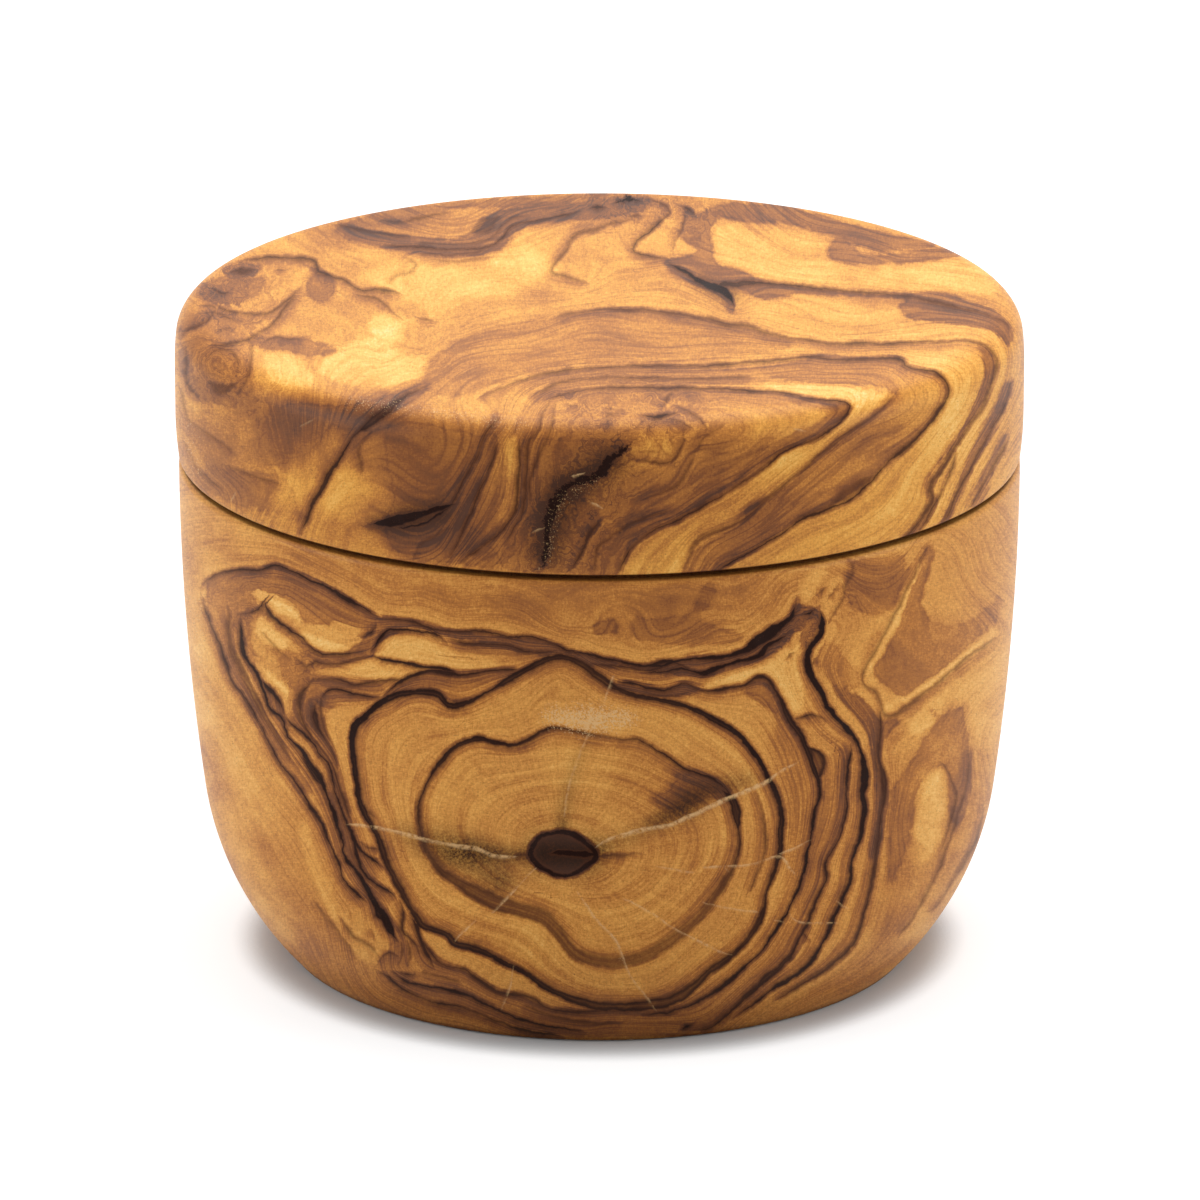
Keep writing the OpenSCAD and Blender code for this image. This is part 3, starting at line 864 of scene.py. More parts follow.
LID_VEINS = tuple(Stroke(*row) for row in (
    ("back left edge", (5, 6, 6), 0.75, (240, 260, 290, 258, 314, 261, 318, 272, 340, 279, 358, 289,
     382, 291, 400, 294), 6.0),
    ("back left, inner", (4, 3), 0.7, (354, 294, 380, 300, 392, 312, 402, 318)),
    ("back left, spots", 8, 0.7, (418, 318, 434, 321)),
    ("blot 1", (14, 10), 0.7, (230, 272, 256, 270)),
    ("hook", 4, 0.8, (211, 288, 218, 292, 224, 296, 228, 292)),
    ("left dab", 4, 0.75, (202, 305, 210, 305, 218, 308)),
    ("left spot", 7, 0.7, (277, 270, 284, 270)),
    ("left bar", 3, 0.6, (205, 313, 216, 312, 228, 318, 240, 322)),
    ("left blot, upper", 6, 0.6, (218, 331, 232, 328)),
    ("left thread", (4, 3), 0.6, (264, 342, 276, 338, 302, 339)),
    ("left arc 1", 4, 0.65, (218, 310, 204, 322, 188, 330, 182, 338), 5.4),
    ("left arc 2", 4, 0.6, (186, 350, 185, 366, 189, 386, 198, 398), 6.0),
    ("eye wedge", 12, 0.55, (208, 382, 222, 390, 236, 384)),
    ("eye ring", 4, 0.45, (206, 358, 214, 350, 228, 350, 238, 360, 238, 374), 7.0),
    ("eye brow", (4, 5, 4, 5), 0.7, (212, 344, 228, 344, 250, 339, 272, 324, 284, 310, 296, 294), 5.4),
    ("eye brow 2", 4, 0.7, (216, 304, 230, 312, 262, 314, 282, 305, 300, 288), 6.0),
    ("eye side", 3, 0.5, (250, 340, 252, 356, 246, 382, 238, 394), 6.4),
    ("rim line 1", 4, 0.65, (336, 224, 360, 230, 396, 236, 410, 238)),
    ("rim line 2", (4, 3), 0.6, (380, 221, 400, 222, 430, 216, 450, 212)),
    ("rim line 3", (5, 5, 4), 0.75, (384, 245, 420, 248, 476, 249, 500, 240, 512, 227, 532, 222, 560, 216,
     580, 211), 6.4),
    ("rim line 4", 3, 0.6, (420, 243, 460, 244, 488, 239, 502, 227, 512, 218, 528, 215)),
    ("rim line 5", 4, 0.6, (420, 254, 450, 255, 470, 254, 490, 248), 5.8),
    ("rim line 6", (4, 3), 0.5, (430, 260, 460, 261, 490, 257)),
    ("dark mass", (14, 20, 14), 0.55, (470, 232, 486, 226, 500, 216)),
    ("faint V", 3, 0.4, (400, 254, 417, 265, 414, 271, 396, 276, 388, 283)),
    ("middle line", (3, 4, 4, 4), (0.65, 0.6), (632, 218, 600, 228, 576, 235, 566, 250, 557, 260, 552, 272,
     568, 277, 586, 283), 5.4),
    ("swirl", 4, 0.8, (650, 198, 666, 206, 669, 212, 654, 227, 636, 242, 633, 249, 640, 254, 668, 259), 5.4),
    ("swirl side", 3, 0.65, (682, 207, 684, 225, 674, 243, 674, 249)),
    ("blot 2", 10, 0.8, (590, 209, 606, 208)),
    ("blot 3", (9, 10), 1.0, (614, 202, 628, 199, 642, 200)),
    ("blot 4", 10, 0.75, (628, 217, 640, 216)),
    ("blot 5", (10, 14), 0.75, (680, 206, 694, 214)),
    ("crotch", (5, 8, 12, 8), (0.85, 0.95), (668, 263, 686, 273, 704, 283, 726, 293, 734, 307), 5.0),
    ("crotch line", (10, 5, 4, 4, 3), (0.8, 0.65), (712, 286, 760, 283, 800, 287, 840, 291, 900, 296,
     940, 303, 1000, 320, 1010, 335), 5.0),
    ("long line", (3, 4, 4, 5, 6, 4, 4, 4, 4, 4, 5, 6, 7, 6, 6), (0.6, 0.65, 0.75, 0.65, 0.75), (558, 317,
     576, 312, 610, 309, 650, 311, 700, 318, 732, 325, 754, 327, 766, 333, 800, 339, 840, 344, 880, 344,
     940, 342, 970, 341, 989, 349, 996, 365, 990, 387, 978, 412, 962, 436, 946, 462, 930, 486, 932, 502,
     912, 530, 902, 540), 4.0),
    ("long line, twin", 4, 0.75, (958, 450, 946, 482, 930, 514, 918, 532)),
    ("right line 2", (4, 5, 5), 0.75, (1012, 382, 1004, 406, 990, 432, 974, 460, 962, 482, 950, 510,
     940, 526), 5.0),
    ("right line 3", 4, 0.7, (1010, 436, 988, 476, 968, 510), 6.0),
    ("big tongue", (3, 3, 4, 4, 4, 5, 6, 6, 6, 6, 5), (0.7, 0.75, 0.85), (480, 397, 520, 381, 560, 371,
     620, 367, 700, 366, 760, 362, 810, 357, 840, 360, 896, 358, 908, 368, 936, 373, 948, 389, 938, 412,
     916, 438, 890, 460, 868, 484, 844, 502, 804, 518, 780, 534, 752, 550, 716, 570), 2.6),
    ("big tongue fill", (10, 16, 10), 0.6, (874, 474, 856, 490, 830, 504)),
    ("fine line", 3, 0.6, (532, 395, 572, 380, 630, 378, 700, 379, 750, 377)),
    ("small tongue", (3, 4, 4, 5, 5, 5, 5, 5, 5, 4, 4), (0.7, 0.8, 0.8), (548, 399, 596, 389, 650, 388,
     730, 390, 784, 393, 812, 399, 846, 402, 850, 406, 840, 421, 820, 436, 780, 454, 750, 478, 700, 508,
     660, 528, 630, 548, 619, 572), 1.0),
    ("band edge", (3, 5, 5, 4), 0.55, (896, 394, 872, 416, 840, 438, 804, 468, 768, 498, 740, 522, 700, 538,
     684, 568), 1.8),
    ("left line 1", (4, 6, 11, 12, 5, 6, 10, 8, 7, 5), (0.7, 0.85, 0.8), (428, 386, 404, 396, 384, 412,
     370, 422, 354, 436, 340, 458, 330, 474, 316, 498, 307, 518, 301, 534), 3.4),
    ("left line 2", 3, 0.55, (372, 430, 360, 448, 361, 472)),
    ("black streak", (4, 12, 15, 11, 8, 4), 0.96, (366, 524, 386, 523, 404, 519, 426, 513, 444, 509,
     458, 504)),
    ("black streak, low", (4, 6, 4), 0.9, (392, 529, 420, 525, 436, 517, 452, 508)),
    ("streak below", 3, 0.6, (412, 558, 422, 544, 450, 528)),
    ("left contour 1", (4, 5, 5, 4), 0.75, (500, 418, 486, 432, 478, 454, 464, 480, 450, 504,
     430, 516), 2.6),
    ("left contour 2", (4, 5, 4), 0.75, (498, 442, 490, 468, 474, 504, 454, 548, 448, 558), 1.8),
    ("left contour 3", (4, 5, 5), 0.75, (520, 440, 518, 480, 514, 512, 496, 536, 460, 562), 1.0),
    ("left contour 4", (3, 4, 4, 4), (0.55, 0.7, 0.75), (550, 401, 541, 416, 539, 430, 529, 442, 526, 474,
     522, 510, 506, 545), 0.5),
    ("left contour 5", (3, 3, 4, 3), (0.5, 0.65, 0.75), (555, 403, 553, 420, 548, 438, 538, 458, 530, 478,
     529, 500)),
    ("black crack", (6, 9, 15, 9, 8, 13, 17, 11, 8, 12, 6), 1.0, (634, 441, 612, 458, 596, 476, 570, 484,
     558, 498, 548, 516, 546, 540, 544, 562, 538, 568)),
    ("crack's head", (10, 12), 1.0, (606, 462, 620, 452)),
    ("crack spur", (8, 5), 1.0, (566, 492, 584, 498)),
    ("burl 1", 5, 0.75, (565, 405, 577, 406)),
    ("burl bar", 3, 0.7, (604, 417, 611, 414, 620, 413)),
    ("burl curl 1", 3, 0.6, (608, 418, 607, 424, 612, 428)),
    ("burl curl 2", (4, 3), 0.75, (647, 433, 649, 426, 657, 420)),
    ("burl curl 3", 3, 0.6, (635, 428, 643, 421, 650, 418)),
    ("burl fleck 1", 4, 0.6, (606, 408, 613, 408)),
    ("burl fleck 2", 3, 0.6, (618, 410, 625, 411)),
    ("burl fleck 3", 5, 0.5, (624, 432, 632, 429)),
    ("burl ray 1", 3, 0.55, (676, 406, 690, 413, 702, 422, 708, 430)),
    ("burl ray 2", 3, 0.6, (662, 418, 676, 421, 690, 427)),
    ("burl ray 3", 2, 0.55, (725, 425, 714, 432, 702, 439, 699, 448, 690, 456)),
    ("burl 2", 10, 0.7, (606, 412, 614, 416)),
    ("burl 3", (5, 8, 7), 0.8, (640, 415, 652, 418, 664, 416, 678, 413)),
    ("burl 4", (5, 7, 5), 0.62, (673, 392, 666, 400, 662, 408)),
    ("burl side", (4, 4, 5, 3), 0.8, (684, 438, 681, 450, 672, 460, 660, 464, 648, 462, 636, 461)),
    ("burl thread 1", 2, 0.6, (640, 452, 652, 451, 662, 453)),
    ("burl thread 2", 2, 0.6, (659, 443, 664, 452, 670, 459, 674, 450, 671, 443)),
    ("burl side 2", 3, 0.6, (694, 456, 678, 484, 642, 500), 0.4),
    ("low contour", (4, 4, 5), 0.75, (670, 510, 630, 524, 600, 546, 594, 572), 0.6),
    ("low stump", (10, 8, 6), 0.75, (602, 520, 590, 532, 578, 558, 570, 570)),
    ("left low arc 1", 3, 0.5, (180, 388, 190, 420, 210, 436, 232, 452), 6.6),
    ("left low arc 2", 3, 0.45, (182, 440, 200, 472, 222, 490), 7.4),
    ("left low arc 3", 3, 0.5, (228, 466, 258, 478, 278, 483), 6.2),
))

LID_SCARS = tuple(Stroke(*row) for row in (
    ("speck 1", 5, 0.9, (571, 477, 584, 472)),
    ("speck 2", 3, 0.7, (588, 502, 604, 508)),
    ("speck 3", 3, 0.9, (537, 566, 540, 569)),
    ("light stroke", (2, 3), 0.6, (528, 534, 544, 527)),
    ("scuff 1", 2, 0.7, (228, 506, 236, 491)),
    ("scuff 2", 3, 0.4, (300, 426, 314, 419)),
    ("scuff 3", (4, 3), 0.6, (792, 428, 808, 432)),
))

LID_TONES = tuple(Stroke(*row) for row in (
    ("burl", (50, 60), 0.1, (590, 412, 670, 414)),
    ("gold right", 26, -0.1, (760, 308, 900, 322)),
    ("tongue brown", 50, 0.04, (880, 424, 740, 530)),
    # The washes named side are partly painted shade, which makes the lid's side darker than its lit top, and
    # partly its browner wood
    ("side, left", (80, 90, 80), (0.06, 0.12, 0.16), (230, 440, 320, 480, 460, 500)),
    ("side, middle", (90, 90, 80), (0.2, 0.24, 0.2), (460, 500, 600, 510, 740, 500)),
    ("side, right", 80, (0.02, -0.04), (740, 510, 900, 470)),
    ("right rim light", 80, -0.17, (930, 380, 960, 460, 930, 510)),
    ("front edge shade", 24, (0.1, 0.14, 0.14, 0.08), (262, 396, 350, 414, 450, 426, 560, 436, 650, 438,
     740, 432)),
    ("right top light", (80, 90), (-0.03, -0.08), (700, 366, 940, 392)),
    ("left edge shade", (36, 44), 0.24, (258, 412, 322, 424, 380, 428)),
    # Partly painted shade on the lid's side, partly its browner wood
    ("side, upper left", (40, 44), (0.12, 0.14), (190, 440, 300, 452, 420, 452)),
    ("side, lower left", 40, 0.14, (330, 530, 420, 544, 524, 536)),
    ("back rim shade", (26, 34, 26), (0.12, 0.18, 0.1, 0.12), (320, 240, 470, 216, 620, 206, 760, 216,
     880, 240)),
    ("left rim shade", (50, 60), 0.1, (200, 300, 220, 420)),
    ("side amber", 30, -0.1, (650, 448, 672, 450)),
    ("round the crack", (40, 50, 40), 0.16, (620, 456, 566, 496, 546, 550)),
))

LID_SMUDGES = tuple(Stroke(*row) for row in (
    ("round the black crack", (36, 46, 36), (0.7, 0.85, 0.7), (612, 462, 562, 498, 546, 550)),
    ("round the streak", (20, 30, 26), (0.5, 0.85, 0.6), (376, 524, 402, 520, 440, 512)),
    ("crotch shade", (14, 20), 0.5, (700, 282, 730, 296)),
))

LID_SCUFFS_AND_SHEEN = tuple(Stroke(*row) for row in (
    # Painted sheen: a pale haze on the lid's left edge
    ("haze, left", 26, 0.3, (184, 420, 196, 470)),
    ("crack dust", (14, 18, 12), 0.3, (596, 482, 562, 500, 552, 530, 548, 562)),
    ("edge dust", 24, 0.3, (350, 402, 430, 410, 520, 424)),
))

LID_BROWNS = tuple(Patch(*row) for row in (
    ("big tongue", 0.2, 3, (714, 573, 740, 560, 764, 546, 782, 528, 806, 514, 836, 502, 858, 490, 878, 470,
     900, 452, 922, 432, 940, 411, 948, 392, 940, 376, 920, 370, 905, 365, 902, 356, 880, 358, 850, 358,
     830, 353, 806, 357, 780, 363, 740, 367, 700, 369, 700, 376, 760, 378, 820, 382, 870, 386, 896, 394,
     884, 404, 858, 424, 834, 440, 812, 460, 792, 478, 770, 497, 748, 506, 738, 524, 712, 538, 692, 550,
     681, 573)),
    ("small tongue", 0.2, 3, (784, 394, 812, 399, 846, 402, 851, 407, 842, 420, 822, 434, 790, 448, 764, 462,
     740, 480, 704, 503, 664, 522, 640, 537, 622, 553, 616, 575, 590, 575, 600, 548, 628, 524, 660, 508,
     700, 482, 730, 460, 762, 446, 800, 432, 822, 420, 834, 410, 820, 405, 790, 402)),
    ("amber wedge", 0.12, 8, (640, 472, 668, 464, 690, 448, 720, 443, 780, 437, 760, 450, 720, 474, 680, 498,
     640, 516, 610, 520, 616, 494)),
    ("centre", 0.12, 4, (430, 362, 470, 336, 520, 324, 560, 317, 600, 309, 650, 310, 700, 318, 740, 326,
     770, 336, 792, 347, 770, 353, 700, 360, 620, 362, 560, 366, 500, 384, 460, 396, 430, 390)),
    ("inner band", 0.1, 4, (520, 392, 560, 374, 620, 366, 700, 367, 760, 370, 780, 377, 740, 382, 680, 382,
     620, 382, 570, 388, 540, 400)),
    ("inner band two", 0.08, 4, (560, 396, 600, 388, 680, 386, 760, 391, 800, 399, 780, 404, 700, 402,
     640, 402, 590, 404)),
    ("crotch", 0.28, 3, (664, 262, 676, 257, 692, 254, 700, 246, 714, 252, 716, 262, 742, 270, 764, 281,
     800, 286, 850, 291, 900, 294, 945, 293, 968, 302, 996, 312, 1012, 330, 1009, 346, 994, 332, 960, 325,
     916, 318, 896, 307, 904, 299, 860, 297, 800, 296, 764, 299, 744, 292, 728, 289, 738, 305, 731, 312,
     720, 297, 700, 286, 682, 276)),
    ("back right rim", 0.26, 3, (712, 206, 750, 203, 785, 205, 830, 216, 880, 230, 920, 240, 950, 251,
     905, 252, 868, 247, 836, 237, 806, 228, 770, 223, 736, 219, 716, 222, 708, 234, 714, 248, 704, 256,
     690, 246, 678, 236, 682, 218, 684, 206, 700, 214)),
    ("back right loop", 0.24, 3, (828, 246, 838, 236, 850, 244, 866, 253, 910, 254, 962, 252, 930, 262,
     880, 265, 845, 264, 830, 257)),
    ("back left rim", 0.28, 3, (336, 226, 372, 231, 410, 238, 452, 240, 478, 234, 486, 220, 500, 210,
     540, 204, 600, 199, 650, 197, 640, 212, 604, 219, 560, 220, 530, 226, 514, 238, 498, 250, 462, 256,
     420, 254, 380, 247, 350, 239)),
    ("back rim strip", 0.2, 4, (350, 222, 400, 208, 470, 200, 560, 194, 620, 193, 560, 204, 480, 209,
     420, 215, 380, 226)),
    ("left mass", 0.24, 4, (204, 284, 226, 276, 250, 280, 264, 276, 262, 292, 246, 301, 222, 303, 204, 300)),
    ("left blot", 0.24, 3, (222, 270, 246, 262, 262, 266, 256, 274, 236, 278)),
    ("left fork", 0.24, 4, (300, 262, 322, 268, 336, 278, 334, 296, 320, 304, 310, 298, 306, 284, 312, 274)),
    ("left smear", 0.24, 4, (248, 340, 280, 335, 316, 340, 338, 348, 326, 356, 292, 353, 262, 349)),
    ("left brown", 0.17, 6, (180, 320, 206, 312, 240, 318, 262, 322, 250, 334, 236, 346, 250, 360, 254, 384,
     240, 404, 214, 404, 192, 392, 180, 366)),
    ("left front edge", 0.3, 16, (284, 402, 320, 404, 352, 404, 384, 398, 420, 390, 436, 386, 420, 396,
     400, 408, 384, 424, 372, 432, 330, 426, 296, 418)),
    ("left side brown", 0.24, 14, (392, 424, 430, 424, 480, 434, 498, 434, 490, 460, 474, 490, 468, 520,
     486, 540, 500, 566, 440, 562, 400, 556, 384, 530, 392, 500, 386, 470, 384, 440)),
    ("left side brown, two", 0.2, 12, (270, 408, 300, 404, 330, 420, 322, 440, 300, 458, 268, 466,
     258, 448)),
    ("centre side brown", 0.16, 6, (522, 440, 560, 442, 620, 442, 606, 466, 580, 490, 600, 520, 610, 560,
     590, 573, 540, 572, 500, 568, 510, 540, 522, 500)),
    ("low left brown", 0.14, 6, (196, 470, 224, 468, 270, 474, 290, 486, 300, 520, 270, 512, 230, 502,
     208, 490)),
    ("right stripe", 0.24, 3, (976, 344, 990, 350, 997, 366, 990, 388, 978, 412, 962, 438, 948, 464,
     934, 488, 938, 506, 926, 524, 906, 542, 894, 545, 912, 526, 926, 504, 924, 486, 944, 456, 962, 428,
     976, 398, 986, 372, 984, 356)),
    ("right stripe two", 0.22, 3, (1006, 384, 1014, 380, 1006, 406, 992, 434, 976, 462, 966, 486, 952, 514,
     936, 530, 930, 530, 944, 512, 958, 484, 966, 462, 982, 432, 996, 404)),
    ("right stripe three", 0.18, 3, (1000, 440, 1008, 434, 994, 468, 982, 500, 970, 510, 974, 492,
     986, 464)),
))

LID_GOLDS = tuple(Patch(*row) for row in (
    ("gold band", -0.14, 3, (850, 412, 872, 405, 886, 402, 868, 417, 846, 432, 824, 448, 800, 470, 780, 488,
     764, 498, 744, 507, 736, 522, 708, 534, 690, 546, 680, 573, 624, 574, 642, 553, 668, 531, 700, 511,
     730, 493, 760, 471, 790, 453, 824, 439)),
    ("cream wedge", -0.24, 4, (752, 388, 790, 384, 840, 388, 886, 395, 870, 405, 852, 408, 846, 400,
     810, 396, 780, 391)),
    ("back right", -0.16, 4, (716, 228, 740, 222, 790, 229, 826, 240, 826, 256, 846, 266, 900, 268, 970, 262,
     1000, 290, 960, 292, 900, 288, 840, 285, 780, 281, 740, 268, 720, 258, 716, 240)),
    ("left", -0.18, 4, (330, 352, 352, 342, 372, 336, 400, 352, 426, 360, 418, 378, 392, 388, 350, 384,
     322, 376, 318, 364)),
    ("left two", -0.16, 4, (262, 356, 286, 352, 300, 362, 316, 380, 300, 388, 270, 382)),
    ("left pale", -0.2, 5, (372, 316, 392, 312, 404, 322, 400, 340, 384, 342, 370, 330)),
    ("back cream", -0.16, 7, (360, 276, 400, 262, 450, 264, 520, 256, 552, 262, 560, 276, 520, 292, 470, 300,
     440, 310, 410, 300, 380, 286)),
    ("side bar", -0.2, 3, (507, 440, 517, 440, 519, 470, 518, 500, 510, 516, 494, 534, 500, 512, 508, 490)),
    ("side left", -0.12, 6, (296, 440, 312, 430, 318, 450, 300, 490, 290, 520, 272, 510, 286, 470)),
    ("side left, two", -0.12, 6, (322, 500, 340, 470, 366, 470, 370, 500, 350, 516, 326, 520)),
    ("side left, three", -0.14, 5, (236, 440, 240, 420, 250, 416, 256, 430, 246, 444)),
))

LID_CURLS = tuple(Stroke(*row) for row in (
    ("back left", (70, 80, 70), (0.9, 1.0, 0.8), (220, 280, 250, 330, 230, 390)),
    ("left", 60, 0.5, (330, 310, 420, 330)),
    ("burl", (50, 60, 40), (0.6, 1.0, 0.6), (580, 412, 640, 412, 690, 414)),
    ("crack", (60, 70), 0.8, (600, 470, 560, 550)),
    ("back", 36, 0.5, (600, 208, 700, 214)),
))

LID_CALM = tuple(Stroke(*row) for row in (
    ("side, left", (90, 110, 90), (1.0, 1.0, 0.6), (200, 440, 330, 470, 430, 480)),
    ("back, left", (80, 90), 0.7, (300, 330, 420, 290, 560, 270)),
    ("back, right", 50, 0.6, (760, 250, 900, 280)),
))

LID_MARKS = (
    (620, 430, -0.4), (222, 366, 7.6), (470, 300, 4.8), (350, 350, 4.4), (800, 250, 6.4), (900, 260, 6.6),
    (600, 350, 3.2), (1010, 480, 7.0), (560, 540, 0.2),
)


# Finishes


class Grain(Enum):
    """How the growth shows on a piece."""

    END = "end"
    LONG = "long"


@dataclass(frozen=True)
class Streaks:
    """Noise drawn out along the growth: how fast it changes across the growth, along it and
    down the fibres, and its detail and roughness."""

    across: float
    along: float
    down: float
    detail: float = 3.0
    rough: float = 0.6


class Surface:
    """What the vertices of a wooden piece hold, as signals, and the noises laid on it."""

    STRETCH = 0.12
    SLANT = 0.035
    CURL = Texture(0.32, 3.0, 0.55)
    CURL_LEVELS = 5.0

    def __init__(self, graph: Graph) -> None:
        """Reads the attributes and lets the growth curl where they say so."""
        self.graph = graph
        self.across, self.up, self.depth = graph.attribute("block")
        self.fibre = graph.vector(self.across, self.up, self.depth * self.STRETCH)
        # The third number is the painted shade in the seam and at the foot's edge
        growth, curl, self.painted_edge_shade = graph.attribute("growth")
        self.growth = growth + curl * self.noise(self.CURL) * self.CURL_LEVELS
        # The third number is the pale scuffs together with the painted sheen on the left edges
        self.tone, self.smudge, self.scuffs_and_sheen = graph.attribute("tone")
        calm, _, _ = graph.attribute("calm")
        self.lively = 1 - calm

    def noise(self, texture: Texture) -> Signal:
        """Noise that is drawn out along the fibres."""
        return self.graph.noise(self.fibre, texture)

    def streaks(self, kind: Streaks) -> Signal:
        """Noise that is drawn out along the growth."""
        slow = (self.across + self.up) * (self.SLANT * kind.along)
        at = self.graph.vector(self.growth * kind.across, slow, self.depth * kind.down)
        return self.graph.noise(at, Texture(1.0, kind.detail, kind.rough))

    def woven(self, close: float, wide: float, down: float) -> Signal:
        """Two noises drawn out across each other, like brush marks."""
        below = self.depth * down
        threads = (
            self.graph.vector(self.across * close, self.up * wide, below),
            self.graph.vector(self.across * wide, self.up * close, below),
        )
        first, second = (self.graph.noise(at, Texture(1.0, 2.0, 0.6)) for at in threads)
        return first + second

    def weighed(self, signal: Signal, weights: tuple[float, float]) -> Signal:
        """A signal by its weight, which goes from the first in calm wood to the second."""
        calm, lively = weights
        return signal * (self.lively * (lively - calm) + calm)


@dataclass(frozen=True)
class Pen:
    """How one kind of line is drawn. What is in pixels is in pixels of the photograph."""

    name: str
    soft_px: float
    shake: float
    sway: Texture = Texture(0.42)
    sway_px: float = 4.2
    tremble: Texture = Texture(1.9, 3.0, 0.6)
    tremble_px: float = 1.8
    swell: Texture = Texture(0.25, 2.0, 0.6)
    swell_px: float = 3.4
    ragged: Texture = Texture(1.0, 4.0, 0.8)
    ragged_px: float = 12.0
    ragged_from: float = 0.97
    solid_from: float = 0.88
    hollow: float = 0.3
    hollow_gain: float = 0.22
    hollow_from: float = 0.7
    edge: tuple[float, float] = (-0.9, 1.2)
    inner_soft_px: float = 1.1
    shade_px: float = 3.0
    inner_shade_px: float = 8.0

    def draw(self, on: Surface, count: int, spread: float) -> tuple[Signal, Signal]:
        """The strongest line of some channels at each point.

        Args:
            on: The surface.
            count: How many channels there are.
            spread: What the lines' widths are multiplied by.

        Returns:
            Nought off the lines, up to their strength on them, and the same for the brown
            that lies along their inner side.
        """
        moved = on.noise(self.sway) * (self.sway_px * self.shake)
        moved = moved + on.noise(self.tremble) * (self.tremble_px * self.shake)
        swell = on.noise(self.swell) * (self.shake * self.swell_px)
        ragged = on.noise(self.ragged) * (self.ragged_px * self.shake)
        total, shade = None, None
        for number in range(count):
            away, half, strength = on.graph.attribute(f"{self.name}_{number}")
            strayed = away + moved + ragged * strength.above(self.ragged_from)
            inner = strayed.above(0.0)
            depth = half * spread + swell - abs(strayed)
            hollow = (depth * self.hollow_gain - self.hollow_from).held() * self.hollow
            hollow = hollow * (1 - strength.above(self.solid_from))
            sharp = depth / (inner * self.inner_soft_px + self.soft_px)
            line = sharp.eased(*self.edge) * strength * (1 - hollow)
            wide = depth / (inner * self.inner_shade_px + self.shade_px)
            beside = (wide + 1).eased(0.0, 1.0) * strength
            total = line if total is None else total.most(line)
            shade = beside if shade is None else shade.most(beside)
        return total, shade


